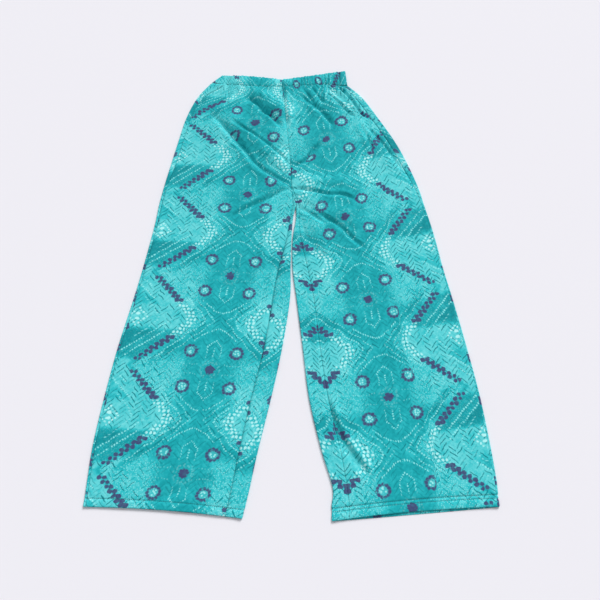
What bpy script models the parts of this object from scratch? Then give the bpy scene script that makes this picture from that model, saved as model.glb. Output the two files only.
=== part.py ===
"""Palazzo pants laid flat on a surface, front side up.

Each leg is a tube of cloth pressed flat: its back panel lies underneath, wraps
round both edges and meets the front panel on top, at the outer and inner seams.
Above the crotch the two tubes join along the centre seams, and an elastic
casing gathers the waist. Lengths are in metres, +Z up, waist towards +Y. Right
and left are the wearer's, so the right leg lies at -X.
"""

import math

import bmesh
import bpy
import numpy as np

MM = 0.001
CM = 0.01

# Cloth and seams.
WALL = 1.2 * MM                 # one layer of cloth
HEM_WALL = 1.8 * MM             # the turned-up hem, two layers pressed together
CASING_WALL = 2.4 * MM          # the casing with its elastic inside
SEAM_GAP = 0.3 * MM             # between neighbouring pieces
EDGE_ROLL = 1.2 * MM            # how much the folded edges stand up
EDGE_ROLL_REACH = 12 * MM
EDGE_CALM_REACH = 25 * MM       # folds fade out this far from a folded edge
EDGE_PROBE = 2 * MM             # where a folded edge's height is taken
TINY = 1e-6                     # keeps comparisons of stations and lengths safe from rounding

# Seam points on the centre line, from the crotch fold up to the casing.
CENTRE_COLUMNS = ("x_cm", "y_cm")
CENTRE_ROWS = (
    (0.65, 12.85),              # crotch fold
    (-0.25, 17.35),             # where the four panels meet
    (-0.60, 23.55),
    (-1.05, 28.95),
    (-1.65, 35.85),
    (-2.15, 41.55),
    (-2.65, 44.80),             # casing seam
)

# One row for each station up a leg, from its hem to the casing. Outer and inner
# are the folded edges, the seams are measured from them over the top, lift is
# the height of the top layer and steps the rows of faces up to the next station.
LEG_COLUMNS = ("outer_x_cm", "outer_y_cm", "inner_x_cm", "inner_y_cm",
               "outseam_cm", "inseam_cm", "lift_mm", "steps")
RIGHT_LEG_ROWS = (
    (-34.90, -47.55, -8.20, -49.50, 0.40, 2.90, 4.0, 1),
    (-34.85, -45.95, -7.80, -47.90, 0.40, 2.95, 4.0, 1),
    (-34.82, -45.35, -7.65, -47.25, 0.40, 3.00, 2.9, 1),
    (-34.78, -42.85, -7.05, -44.35, 0.40, 3.10, 2.9, 2),
    (-34.60, -36.75, -5.75, -37.60, 0.40, 3.30, 2.9, 2),
    (-33.65, -27.95, -3.70, -28.30, 0.40, 3.60, 2.9, 2),
    (-32.35, -18.55, -1.88, -18.80, 0.40, 3.40, 2.9, 3),
    (-30.50, -8.55, -0.48, -8.55, 0.40, 3.35, 2.9, 2),
    (-29.40, -2.05, -0.38, -1.75, 0.40, 2.40, 3.0, 2),
    (-28.40, 4.75, -0.25, 4.95, 0.40, 1.00, 3.2, 3),
    (-27.80, 9.45, 0.05, 9.95, 0.45, 0.60, 3.4, 2),
    (-27.50, 13.00, 0.65, 12.85, 0.50, 0.60, 3.6, 3),
    (-26.85, 17.65, -0.25, 17.35, 0.70, 0.12, 3.8, 4),
    (-25.75, 24.00, -0.60, 23.55, 1.00, 0.12, 4.0, 4),
    (-24.75, 29.60, -1.05, 28.95, 1.05, 0.12, 4.2, 4),
    (-23.50, 36.00, -1.65, 35.85, 1.05, 0.12, 4.5, 4),
    (-21.45, 41.75, -2.15, 41.55, 1.50, 0.12, 4.9, 2),
    (-18.45, 46.25, -2.65, 44.80, 3.70, 0.12, 5.4, 0),
)
LEFT_LEG_ROWS = (
    (34.88, -47.55, 6.75, -49.90, 0.40, 2.90, 4.0, 1),
    (34.90, -45.55, 6.72, -47.90, 0.40, 2.90, 4.0, 1),
    (34.90, -44.95, 6.75, -47.25, 0.40, 2.90, 2.9, 1),
    (34.90, -42.60, 6.95, -44.20, 0.40, 2.40, 2.9, 2),
    (34.55, -36.75, 5.05, -37.50, 0.40, 3.30, 2.9, 2),
    (33.75, -27.95, 3.05, -28.30, 0.40, 3.40, 2.9, 2),
    (32.40, -18.55, 1.95, -18.60, 0.40, 3.20, 2.9, 3),
    (30.75, -8.55, 0.78, -8.55, 0.40, 3.30, 2.9, 2),
    (29.55, -2.05, 0.00, -1.75, 0.40, 2.90, 3.0, 2),
    (28.55, 4.75, -0.02, 4.95, 0.45, 1.60, 3.2, 3),
    (27.70, 9.45, 0.62, 9.95, 0.50, 0.60, 3.4, 2),
    (26.95, 13.00, 0.65, 12.85, 0.60, 0.60, 3.6, 3),
    (26.00, 17.65, -0.25, 17.35, 0.85, 0.12, 3.8, 4),
    (24.15, 23.70, -0.60, 23.55, 1.50, 0.12, 4.0, 4),
    (21.95, 29.40, -1.05, 28.95, 1.60, 0.12, 4.2, 4),
    (18.75, 35.70, -1.65, 35.85, 1.70, 0.12, 4.5, 4),
    (15.35, 41.75, -2.15, 41.55, 1.70, 0.12, 4.9, 2),
    (12.15, 45.35, -2.65, 44.80, 1.70, 0.12, 5.4, 0),
)
STATION_HEM = 0
STATION_STITCH = 1
STATION_CROTCH = 11
STATION_MEETING = 12
CALM_BELOW_CROTCH = 4 * CM      # the inner edges lie calm from here down

# How far each section bows away from a straight line between its two edges.
RIGHT_HEM_BOW = 0.42 * CM
LEFT_HEM_BOW = 0.40 * CM
RIGHT_WAIST_BOW = -0.60 * CM
LEFT_WAIST_BOW = 0.05 * CM
LEFT_BACK_HEM_DROP = 0.45 * CM  # the back hem shows this far below the front
HEM_BOW_REACH = 12 * CM
WAIST_BOW_REACH = 8 * CM

# Casing: its top edge at both ends and at the centre, and where its seams lie.
CASING_TOP_RIGHT = (-16.40 * CM, 48.25 * CM)
CASING_TOP_CENTRE = (-2.65 * CM, 46.95 * CM)
CASING_TOP_LEFT = (11.80 * CM, 49.65 * CM)
CASING_TOP_BOW_RIGHT = 0.30 * CM
CASING_TOP_BOW_LEFT = -0.075 * CM
CASING_TOP_RIGHT_SEAM = 2.40 * CM
CASING_TOP_LEFT_SEAM = 1.50 * CM
CASING_HEIGHT_OVER = 5.8 * MM   # top of the casing above the surface it lies on
CASING_PUFF = 0.9 * MM
CASING_ROWS = 3
GATHERS = 26                    # across the front, and as many across the back
GATHER_HEIGHT = 1.2 * MM
GATHER_UNEVENNESS = 0.2         # share of their height
GATHER_DRIFT = 5.1              # how fast that changes along the waist, and where it starts
GATHER_DRIFT_START = 1.0
GATHER_FACES = 4                # faces to one gather
CASING_TURN_FACES = 4           # round each end
CASING_STRIP_FACES = 1          # from each outer seam to the turn

# Folds of the top layer. Each runs through three to five places, and the cloth
# dips along it and stands up on its right and left side (seen from its start).
FOLD_COLUMNS = ("name", "half_width_mm", "dip_mm", "right_mm", "left_mm", "places_cm")
FOLDS = (
    ("right hip to crotch", 15, 3.5, 2.0, 4.0,
     ((-17.7, 37.0), (-13.8, 32.1), (-9.8, 27.4), (-4.8, 21.9), (-1.1, 19.2))),
    ("right upper", 13, 2.5, 1.5, 2.5, ((-10.8, 33.3), (-6.4, 29.9), (-2.4, 26.7))),
    ("right deep", 12, 5.0, 2.0, 5.0,
     ((-10.8, 41.6), (-7.7, 40.2), (-6.4, 37.9), (-4.1, 36.6), (-3.0, 34.0))),
    ("right smile", 15, 2.5, 2.5, 1.5,
     ((-1.1, 17.1), (-5.8, 13.9), (-10.3, 5.9), (-14.2, 2.4))),
    ("left smile", 13, 2.5, 1.5, 2.5,
     ((0.4, 17.4), (6.2, 16.5), (9.3, 16.5), (12.6, 15.1))),
    ("left thigh", 13, 2.5, 1.5, 2.5,
     ((1.8, 13.9), (4.9, 10.0), (9.1, 8.9), (11.6, 5.9), (14.3, 3.8))),
    ("left inner", 12, 2.5, 1.0, 2.0, ((2.4, 9.2), (3.2, 5.6), (4.5, 2.1), (6.0, -0.2))),
    ("left gather", 11, 4.5, 4.0, 2.0, ((7.9, 44.0), (11.9, 38.2), (12.9, 36.0))),
    ("left outer", 12, 4.0, 3.0, 2.0,
     ((10.2, 44.9), (15.2, 37.9), (17.1, 33.0), (20.9, 26.5), (23.2, 22.0))),
    ("left short", 10, 2.5, 1.5, 1.5, ((4.6, 44.5), (5.9, 41.8), (6.8, 39.5))),
    ("left curl", 11, 3.0, 2.0, 2.0,
     ((1.6, 41.6), (4.4, 40.5), (5.7, 38.8), (7.2, 36.7), (7.7, 34.0))),
    ("left return", 13, 2.5, 1.5, 2.5, ((8.2, 32.1), (5.0, 28.0), (2.0, 24.0))),
    ("right hem", 14, 1.0, 1.0, 1.0, ((-14.9, -44.0), (-18.2, -44.7), (-21.6, -45.8))),
    ("left hem", 14, 1.5, 1.0, 1.5, ((7.6, -31.6), (8.9, -36.1), (10.7, -38.9), (12.1, -41.3))),
)
SIDE_SHIFT = 1.6                # the raised sides lie this many half widths away
SIDE_SPREAD = 1.3
FOLD_FADE = 0.3                 # share of a fold's length over which it fades at each end
FOLD_FADE_START = 0.25          # and where on that slope it begins

# Broad lifts of the top layer, where loose cloth stands off the layer below.
LIFT_COLUMNS = ("x_cm", "y_cm", "across_cm", "along_cm", "height_mm")
LIFTS = (
    (-12.0, 36.0, 9.0, 9.0, 4.5),
    (-13.0, 22.0, 10.0, 11.0, 3.5),
    (-2.5, 34.0, 9.0, 10.0, 4.0),
    (6.0, 37.0, 8.0, 9.0, 4.5),
    (8.0, 23.0, 11.0, 11.0, 3.5),
    (-7.0, 9.0, 9.0, 9.0, 2.5),
    (7.5, 8.0, 9.0, 9.0, 2.5),
    (-16.0, -20.0, 12.0, 20.0, 1.2),
    (17.0, -20.0, 12.0, 20.0, 1.2),
    (18.5, -4.0, 4.0, 26.0, 0.8),
)
LIFT_SOFTNESS = 0.8 * MM

# Small gathers that run down from the casing seam and die away.
PANEL_GATHER_PITCH = 23 * MM
PANEL_GATHER_HEIGHT = 2.2 * MM
PANEL_GATHER_REACH = 5.5 * CM
PANEL_GATHER_WANDER = 1.3       # how far their spacing strays, and how fast that changes
PANEL_GATHER_WANDER_RATE = 90 / (100 * CM)

FRONT_FACES_ACROSS = 20
BACK_FACES_ACROSS = 6
STRIP_FACES = 2                 # the back panel's top strip beside the inner seam
TURN_FACES = 2                  # a quarter turn round a folded edge
OUTER_STRIP_FACES = 1           # the back panel's top strip beside the outer seam
LOW_SIDE_OF_SLIT = -1           # marks a slit's vertices that belong to the strip
FOLD_CURVE_STEPS = 6

NUDGE = 0.4 * MM                # step for measuring the surface's slopes

TEAL = (0.022, 0.434, 0.474, 1.0)
DEEP_TEAL = (0.016, 0.352, 0.396, 1.0)
CLOTH_ROUGHNESS = 0.75


def column(rows, names, name):
    """One named column of a table."""
    return np.array([row[names.index(name)] for row in rows], dtype=float)


def smooth(knots, values, where):
    """A curve through the values, with an even slope at each knot."""
    slopes = np.gradient(values, knots)
    index = np.clip(np.searchsorted(knots, where, side="right") - 1, 0, len(knots) - 2)
    span = knots[index + 1] - knots[index]
    t = (where - knots[index]) / span
    rise = values[index + 1] - values[index]
    start = slopes[index] * span
    end = slopes[index + 1] * span
    return values[index] + start * t + (3 * rise - 2 * start - end) * t**2 + (start + end - 2 * rise) * t**3


def ease(value):
    """0 below 0, 1 above 1 and an even slope between."""
    t = np.clip(value, 0.0, 1.0)
    return t * t * (3 - 2 * t)


class Leg:
    """The folded edges, seams and heights of one leg as curves up its length."""

    def __init__(self, rows, hem_bow, waist_bow, back_hem_drop):
        def read(name, unit=1.0):
            return column(rows, LEG_COLUMNS, name) * unit

        self.side = math.copysign(1.0, rows[0][0])
        self.tables = {
            "outer_x": read("outer_x_cm", CM),
            "outer_y": read("outer_y_cm", CM),
            "outseam": read("outseam_cm", CM),
            "inseam": read("inseam_cm", CM),
            "lift": read("lift_mm", MM),
        }
        self.knots = np.arange(len(rows), dtype=float)
        self.inner_x = read("inner_x_cm", CM)
        self.inner_y = read("inner_y_cm", CM)
        self.centre_x = column(CENTRE_ROWS, CENTRE_COLUMNS, "x_cm") * CM
        self.centre_y = column(CENTRE_ROWS, CENTRE_COLUMNS, "y_cm") * CM
        self.hem_bow = hem_bow
        self.waist_bow = waist_bow
        self.back_hem_drop = back_hem_drop
        self.stations = [0.0]
        for station, steps in enumerate(read("steps").astype(int)):
            for step in range(1, steps + 1):
                self.stations.append(station + step / steps)

    def at(self, name, v):
        """A named size of the leg at station v."""
        return smooth(self.knots, self.tables[name], v)

    def outer(self, v):
        return self.at("outer_x", v), self.at("outer_y", v)

    def inner(self, v):
        """The inner folded edge, and above the crotch the centre seam."""
        below = self.knots[:STATION_CROTCH + 1]
        above = self.knots[STATION_CROTCH:]
        low = np.minimum(v, STATION_CROTCH)
        high = np.maximum(v, STATION_CROTCH)
        on_edge = v < STATION_CROTCH
        x = np.where(on_edge, smooth(below, self.inner_x[:STATION_CROTCH + 1], low),
                     smooth(above, self.centre_x, high) + self.side * SEAM_GAP / 2)
        y = np.where(on_edge, smooth(below, self.inner_y[:STATION_CROTCH + 1], low),
                     smooth(above, self.centre_y, high))
        return x, y

    def wall(self, v):
        """Thickness of the cloth: double within the hem."""
        return np.where(v < STATION_STITCH + 0.01, HEM_WALL, WALL)

    def width(self, v):
        outer_x, outer_y = self.outer(v)
        inner_x, inner_y = self.inner(v)
        return np.hypot(inner_x - outer_x, inner_y - outer_y)

    def plan(self, v, a, top):
        """Where the section's point at distance a from its outer edge lies."""
        outer_x, outer_y = self.outer(v)
        inner_x, inner_y = self.inner(v)
        t = a / np.hypot(inner_x - outer_x, inner_y - outer_y)
        from_hem = outer_y - self.tables["outer_y"][STATION_HEM]
        from_waist = self.tables["outer_y"][-1] - outer_y
        bow = self.hem_bow * (1 - ease(from_hem / HEM_BOW_REACH))
        bow = bow + self.waist_bow * (1 - ease(from_waist / WAIST_BOW_REACH))
        drop = np.where(top, 0.0, self.back_hem_drop * (1 - ease(from_hem / HEM_BOW_REACH)))
        arch = 4 * t * (1 - t)
        return outer_x + (inner_x - outer_x) * t, outer_y + (inner_y - outer_y) * t + (bow - drop) * arch

    def height(self, v, a):
        """Height of the top layer at distance a from the outer edge."""
        x, y = self.plan(v, a, True)
        inside = self.width(v) - a
        crotch_y = self.centre_y[0]
        calm = 1 - ease((y - crotch_y + CALM_BELOW_CROTCH) / (2 * CALM_BELOW_CROTCH))
        rest = 1 - np.exp(-(a / EDGE_CALM_REACH) ** 2)
        rest = rest * (1 - calm * np.exp(-(inside / EDGE_CALM_REACH) ** 2))
        roll = np.exp(-(a / EDGE_ROLL_REACH) ** 2) + calm * np.exp(-(inside / EDGE_ROLL_REACH) ** 2)
        from_waist = self.tables["outer_y"][-1] - self.at("outer_y", v)
        stray = PANEL_GATHER_WANDER * np.sin(PANEL_GATHER_WANDER_RATE * x)
        gather = np.cos(2 * math.pi * x / PANEL_GATHER_PITCH + stray)
        gather = PANEL_GATHER_HEIGHT * 0.5 * (1 + gather) * np.exp(-from_waist / PANEL_GATHER_REACH)
        return self.at("lift", v) + EDGE_ROLL * roll + rest * (loose_cloth(x, y) + gather)

    def point(self, v, d, top):
        """Outer skin at distance d along the section, from its outer edge."""
        joined = v <= STATION_CROTCH + TINY
        width = self.width(v)
        outer_radius = self.height(v, np.full_like(v, EDGE_PROBE)) / 2
        inner_radius = np.where(joined, self.height(v, width - EDGE_PROBE) / 2, TINY)
        outer_arc = outer_radius * math.pi / 2
        inner_arc = inner_radius * math.pi / 2
        from_inner = self.length(v) - d
        on_outer = d < outer_arc
        on_inner = joined & (from_inner < inner_arc)
        outer_turn = np.clip(d / outer_radius, 0, math.pi / 2)
        inner_turn = np.clip(from_inner / inner_radius, 0, math.pi / 2)
        a = outer_radius + d - outer_arc
        a = np.where(on_outer, outer_radius * (1 - np.cos(outer_turn)), a)
        a = np.where(on_inner, width - inner_radius * (1 - np.cos(inner_turn)), a)
        z = np.where(top, self.height(v, a), 0.0)
        up = np.where(top, 1.0, -1.0)
        z = np.where(on_outer, outer_radius * (1 + up * np.sin(outer_turn)), z)
        z = np.where(on_inner, inner_radius * (1 + up * np.sin(inner_turn)), z)
        x, y = self.plan(v, a, top)
        return np.stack((x, y, z), axis=-1)

    def arcs(self, v):
        """Lengths of the quarter turns at the outer and at the inner edge."""
        outer_radius = self.height(v, np.full_like(v, EDGE_PROBE)) / 2
        inner_radius = self.height(v, self.width(v) - EDGE_PROBE) / 2
        joined = v <= STATION_CROTCH + TINY
        return outer_radius * math.pi / 2, np.where(joined, inner_radius * math.pi / 2, 0.0)

    def length(self, v):
        """Length of one layer's section, with a quarter turn at each edge."""
        outer_arc, inner_arc = self.arcs(v)
        return self.width(v) + (outer_arc + inner_arc) * (1 - 2 / math.pi)

    def along(self, v, from_outer):
        """Distance over the skin for a level distance from the outer edge."""
        outer_arc, _ = self.arcs(v)
        return from_outer + outer_arc * (1 - 2 / math.pi)

    def back_along(self, v, from_inner):
        """The same for a level distance from the inner edge."""
        _, inner_arc = self.arcs(v)
        return self.length(v) - from_inner - inner_arc * (1 - 2 / math.pi)

    def skins(self, v, d, top):
        """Points on the outer and the inner skin of the wall."""
        below = np.where((v > STATION_CROTCH + TINY) & (v < self.knots[-1]), NUDGE, -NUDGE)
        below = np.where(v < NUDGE, NUDGE, below)
        here = self.point(v, d, top)
        across = self.point(v, d + NUDGE, top) - self.point(v, d - NUDGE, top)
        upward = (self.point(v + below, d, top) - here) * np.sign(below)[..., None]
        square = (v < TINY) | (v > self.knots[-1] - TINY)
        upward[square] = (0.0, 1.0, 0.0)
        across[square, 1] = 0.0
        normal = np.cross(across, upward) * self.side
        normal = normal * np.where(top, -1.0, 1.0)[..., None]
        normal = normal / np.linalg.norm(normal, axis=-1, keepdims=True)
        return here, here - normal * self.wall(v)[..., None]


def fold_curve(places):
    """A smooth polyline through a fold's places."""
    spots = np.array(places) * CM
    knots = np.arange(len(spots), dtype=float)
    where = np.linspace(0, len(spots) - 1, (len(spots) - 1) * FOLD_CURVE_STEPS + 1)
    return smooth(knots, spots[:, 0], where), smooth(knots, spots[:, 1], where)


def fold_height(x, y, fold):
    """A dip along the fold with a raised side on its right and on its left."""
    line_x, line_y = fold_curve(fold["places_cm"])
    run_x = np.diff(line_x)
    run_y = np.diff(line_y)
    runs = np.hypot(run_x, run_y)
    starts = np.concatenate(([0.0], np.cumsum(runs)))[:-1]
    nearest = np.full(np.shape(x), np.inf)
    across = np.zeros(np.shape(x))
    along = np.zeros(np.shape(x))
    for i, run in enumerate(runs):
        dx = x - line_x[i]
        dy = y - line_y[i]
        t = np.clip((dx * run_x[i] + dy * run_y[i]) / run**2, 0, 1)
        away = np.hypot(dx - t * run_x[i], dy - t * run_y[i])
        closer = away < nearest
        turn = np.sign(dx * run_y[i] - dy * run_x[i])
        nearest = np.where(closer, away, nearest)
        across = np.where(closer, away * turn, across)
        along = np.where(closer, starts[i] + t * run, along)
    share = along / runs.sum()
    taper = ease(share / FOLD_FADE + FOLD_FADE_START) * ease((1 - share) / FOLD_FADE + FOLD_FADE_START)
    s = across / (fold["half_width_mm"] * MM)
    profile = fold["right_mm"] * np.exp(-((s - SIDE_SHIFT) / SIDE_SPREAD) ** 2)
    profile = profile + fold["left_mm"] * np.exp(-((s + SIDE_SHIFT) / SIDE_SPREAD) ** 2)
    return taper * (profile - fold["dip_mm"] * np.exp(-s * s)) * MM


def loose_cloth(x, y):
    """How far the top layer stands off where it lies loosely, with its folds."""
    total = np.zeros(np.shape(x))
    for row in LIFTS:
        lift = dict(zip(LIFT_COLUMNS, row))
        u = (x / CM - lift["x_cm"]) / lift["across_cm"]
        w = (y / CM - lift["y_cm"]) / lift["along_cm"]
        total = total + lift["height_mm"] * MM * np.exp(-u * u - w * w)
    for row in FOLDS:
        total = total + fold_height(x, y, dict(zip(FOLD_COLUMNS, row)))
    return (total + np.sqrt(total**2 + LIFT_SOFTNESS**2)) / 2


class Casing:
    """The gathered tube at the waist, as sections up its height."""

    def __init__(self, right_leg, left_leg):
        self.legs = (right_leg, left_leg)

    def low(self, s):
        """The casing seam: s runs 0 to 1 to the centre and on to 2."""
        right_leg, left_leg = self.legs
        v = np.full_like(s, right_leg.knots[-1])
        width_right = right_leg.width(v)
        width_left = left_leg.width(v)
        right_x, right_y = right_leg.plan(v, np.minimum(s, 1) * width_right, True)
        left_x, left_y = left_leg.plan(v, (2 - np.maximum(s, 1)) * width_left, True)
        return np.where(s < 1, right_x, left_x), np.where(s < 1, right_y, left_y) + SEAM_GAP

    def high(self, s):
        """The casing's top edge."""
        t = np.minimum(s, 1)
        u = np.maximum(s, 1) - 1
        right_x = CASING_TOP_RIGHT[0] + (CASING_TOP_CENTRE[0] - CASING_TOP_RIGHT[0]) * t
        right_y = CASING_TOP_RIGHT[1] + (CASING_TOP_CENTRE[1] - CASING_TOP_RIGHT[1]) * t
        left_x = CASING_TOP_CENTRE[0] + (CASING_TOP_LEFT[0] - CASING_TOP_CENTRE[0]) * u
        left_y = CASING_TOP_CENTRE[1] + (CASING_TOP_LEFT[1] - CASING_TOP_CENTRE[1]) * u
        right_y = right_y + CASING_TOP_BOW_RIGHT * 4 * t * (1 - t)
        left_y = left_y + CASING_TOP_BOW_LEFT * 4 * u * (1 - u)
        return np.where(s < 1, right_x, left_x), np.where(s < 1, right_y, left_y)

    def plan(self, s, rise):
        low_x, low_y = self.low(s)
        high_x, high_y = self.high(s)
        return low_x + (high_x - low_x) * rise, low_y + (high_y - low_y) * rise

    def seams(self, rise):
        """Where both outer seams cross the casing, as values of s."""
        right_leg, left_leg = self.legs
        top = right_leg.knots[-1:]
        right_width = right_leg.width(top)[0]
        left_width = left_leg.width(top)[0]
        right_low = right_leg.at("outseam", top)[0] / right_width
        left_low = 2 - left_leg.at("outseam", top)[0] / left_width
        right_high = CASING_TOP_RIGHT_SEAM / (CASING_TOP_CENTRE[0] - CASING_TOP_RIGHT[0])
        left_high = 2 - CASING_TOP_LEFT_SEAM / (CASING_TOP_LEFT[0] - CASING_TOP_CENTRE[0])
        return right_low + (right_high - right_low) * rise, left_low + (left_high - left_low) * rise


def gather_wave(s):
    """0 to 1, one crest for each gather, a little uneven along the waist."""
    uneven = 1 - GATHER_UNEVENNESS * (1 - np.sin(GATHER_DRIFT * s + GATHER_DRIFT_START))
    return 0.5 * (1 + np.cos(math.pi * GATHERS * s)) * uneven


def fill_wall(name, columns, rows, skins, split_column=None, split_row=0, drop=None):
    """A closed wall from a grid: its vertices move to the outer skin, and the
    whole face region is extruded to the inner skin. A slit may part one column
    above a row, and faces may be dropped."""
    bm = bmesh.new()
    bmesh.ops.create_grid(bm, x_segments=columns, y_segments=rows, size=0.5)
    for vert in bm.verts:
        vert.co = (round((vert.co.x + 0.5) * columns), round((vert.co.y + 0.5) * rows), 0)
    if drop:
        dropped = [face for face in bm.faces if drop(face.calc_center_median())]
        bmesh.ops.delete(bm, geom=dropped, context="FACES")
    if split_column is not None:
        slit = [edge for edge in bm.edges
                if all(vert.co.x == split_column and vert.co.y >= split_row for vert in edge.verts)]
        bmesh.ops.split_edges(bm, edges=slit)
        for vert in bm.verts:
            low_side = all(face.calc_center_median().x < split_column for face in vert.link_faces)
            vert.co.z = LOW_SIDE_OF_SLIT if vert.co.x == split_column and low_side else 0
    extruded = bmesh.ops.extrude_face_region(bm, geom=bm.faces[:], use_keep_orig=True)
    inner_verts = [item for item in extruded["geom"] if isinstance(item, bmesh.types.BMVert)]
    inner_set = set(inner_verts)
    outer_verts = [vert for vert in bm.verts if vert not in inner_set]
    for verts, skin in ((outer_verts, 0), (inner_verts, 1)):
        grid = np.array([vert.co[:] for vert in verts])
        for vert, place in zip(verts, skins(grid[:, 0], grid[:, 1], grid[:, 2])[skin]):
            vert.co = place
    bmesh.ops.recalc_face_normals(bm, faces=bm.faces)
    mesh = bpy.data.meshes.new(name)
    bm.to_mesh(mesh)
    bm.free()
    piece = bpy.data.objects.new(name, mesh)
    return piece


def front_panel(name, leg):
    """Top layer from the outer seam to the inner seam or the centre seam."""
    stations = np.array(leg.stations)

    def skins(column_index, row_index, _):
        v = stations[row_index.astype(int)]
        start = leg.along(v, leg.at("outseam", v) + SEAM_GAP / 2)
        at_centre = v > STATION_MEETING + TINY
        inner_end = leg.back_along(v, leg.at("inseam", v) + SEAM_GAP / 2)
        end = np.where(at_centre, leg.length(v), inner_end)
        d = start + (end - start) * column_index / FRONT_FACES_ACROSS
        return leg.skins(v, d, np.full(v.shape, True))

    return fill_wall(name, FRONT_FACES_ACROSS, len(stations) - 1, skins)


def back_panel(name, leg):
    """From the inner seam on top, round the inner edge, underneath and round
    the outer edge to the outer seam. Above the crotch its top strip parts from
    the layer underneath, and it ends where the four panels meet."""
    stations = np.array(leg.stations)
    inner_edge = STRIP_FACES + TURN_FACES
    outer_edge = inner_edge + TURN_FACES + BACK_FACES_ACROSS + TURN_FACES
    columns = outer_edge + TURN_FACES + OUTER_STRIP_FACES
    crotch_row = int(np.argmin(abs(stations - STATION_CROTCH)))
    meeting_row = int(np.argmin(abs(stations - STATION_MEETING)))

    def skins(column_index, row_index, side_of_slit):
        v = stations[row_index.astype(int)]
        outer_arc, inner_arc = leg.arcs(v)
        length = leg.length(v)
        seam_in = length - leg.back_along(v, leg.at("inseam", v) - SEAM_GAP / 2)
        seam_out = leg.along(v, leg.at("outseam", v) - SEAM_GAP / 2)
        turn_in = np.where(v <= STATION_CROTCH + TINY, inner_arc, seam_in / 2)
        strip_share = np.clip(1 - column_index / STRIP_FACES, 0, 1)
        on_strip = turn_in + (seam_in - turn_in) * strip_share
        on_turn = turn_in * (inner_edge - column_index) / TURN_FACES
        on_strip = np.where(column_index > STRIP_FACES, on_turn, on_strip)
        top_in = (column_index < inner_edge) | (side_of_slit == LOW_SIDE_OF_SLIT)
        beneath = (column_index - inner_edge - TURN_FACES) / BACK_FACES_ACROSS
        under_in = np.where(v <= STATION_CROTCH + TINY, inner_arc, EDGE_PROBE)
        under = length - under_in - (length - under_in - outer_arc) * np.clip(beneath, 0, 1)
        turned = (column_index - inner_edge) / TURN_FACES
        under = np.where(turned < 1, length - under_in * turned, under)
        past_outer = (column_index - outer_edge) / TURN_FACES
        under = np.where(past_outer > -1, outer_arc * -past_outer, under)
        over = np.where(past_outer <= 1, outer_arc * past_outer, seam_out)
        top_out = past_outer > 0
        d = np.where(top_in, length - on_strip, np.where(top_out, over, under))
        return leg.skins(v, d, top_in | top_out)

    return fill_wall(name, columns, len(stations) - 1, skins, inner_edge, crotch_row,
                     lambda centre: centre.x < inner_edge and centre.y > meeting_row)


def front_casing(name, casing):
    """Top layer of the casing between the two outer seams."""
    columns = GATHERS * GATHER_FACES

    def skins(column_index, row_index, _):
        rise = row_index / CASING_ROWS
        start, end = casing.seams(rise)
        s = start + (end - start) * column_index / columns
        x, y = casing.plan(s, rise)
        z = CASING_HEIGHT_OVER + CASING_PUFF * np.sin(math.pi * rise)
        crest = z + GATHER_HEIGHT * gather_wave(s)
        first = np.where(column_index == 0, SEAM_GAP / 2, 0)
        last = np.where(column_index == columns, -SEAM_GAP / 2, 0)
        x = x + first + last
        return np.stack((x, y, crest), axis=-1), np.stack((x, y, z - CASING_WALL), axis=-1)

    return fill_wall(name, columns, CASING_ROWS, skins)


def back_casing(name, casing):
    """From one outer seam round the right end, beneath and round the left end
    to the other outer seam, with the gathers as grooves underneath."""
    under_columns = GATHERS * GATHER_FACES
    columns = under_columns + 2 * (CASING_TURN_FACES + CASING_STRIP_FACES)
    radius = CASING_HEIGHT_OVER / 2

    def skins(column_index, row_index, _):
        rise = row_index / CASING_ROWS
        first_seam, last_seam = casing.seams(rise)
        x_start, _ = casing.plan(np.zeros_like(rise), rise)
        x_end, _ = casing.plan(np.full_like(rise, 2.0), rise)
        at_end = column_index > columns / 2
        from_end = np.where(at_end, columns - column_index, column_index)
        turn = np.clip((from_end - CASING_STRIP_FACES) / CASING_TURN_FACES, 0, 1) * math.pi
        past_turn = column_index - CASING_STRIP_FACES - CASING_TURN_FACES
        share = np.clip(past_turn / under_columns, 0, 1)
        puff = CASING_PUFF * np.sin(math.pi * rise)
        seam_x, _ = casing.plan(np.where(at_end, last_seam, first_seam), rise)
        inward = np.where(at_end, -1.0, 1.0)
        edge_x = np.where(at_end, x_end, x_start)
        x = edge_x + inward * radius * (1 - np.sin(turn))
        x = np.where(from_end == 0, seam_x - inward * SEAM_GAP / 2, x)
        beneath = from_end > CASING_STRIP_FACES + CASING_TURN_FACES
        x = np.where(beneath, x_start + radius + (x_end - x_start - 2 * radius) * share, x)
        s = casing_share(casing, x, rise)
        _, y = casing.plan(s, rise)
        groove = GATHER_HEIGHT / 2 * (1 - gather_wave(s)) * np.sin(math.pi * rise)
        z = radius * (1 + np.cos(turn)) + np.where(turn < math.pi / 2, puff, 0)
        z = np.where(beneath, groove, z)
        lean = np.sin(turn)
        inner_x = x + inward * CASING_WALL * lean
        inner_z = z - CASING_WALL * np.cos(turn)
        inner_z = np.where(beneath, CASING_WALL, inner_z)
        return np.stack((x, y, z), axis=-1), np.stack((inner_x, y, inner_z), axis=-1)

    return fill_wall(name, columns, CASING_ROWS, skins)


def casing_share(casing, x, rise):
    """The value of s at which the casing's section reaches x."""
    start, _ = casing.plan(np.zeros_like(rise), rise)
    centre, _ = casing.plan(np.ones_like(rise), rise)
    end, _ = casing.plan(np.full_like(rise, 2.0), rise)
    return np.where(x < centre, (x - start) / (centre - start), 1 + (x - centre) / (end - centre))


def cloth_material(name, colour):
    material = bpy.data.materials.new(name)
    material.use_nodes = True
    shader = material.node_tree.nodes["Principled BSDF"]
    shader.inputs["Base Color"].default_value = colour
    shader.inputs["Roughness"].default_value = CLOTH_ROUGHNESS
    shader.inputs["Metallic"].default_value = 0.0
    return material


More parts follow.
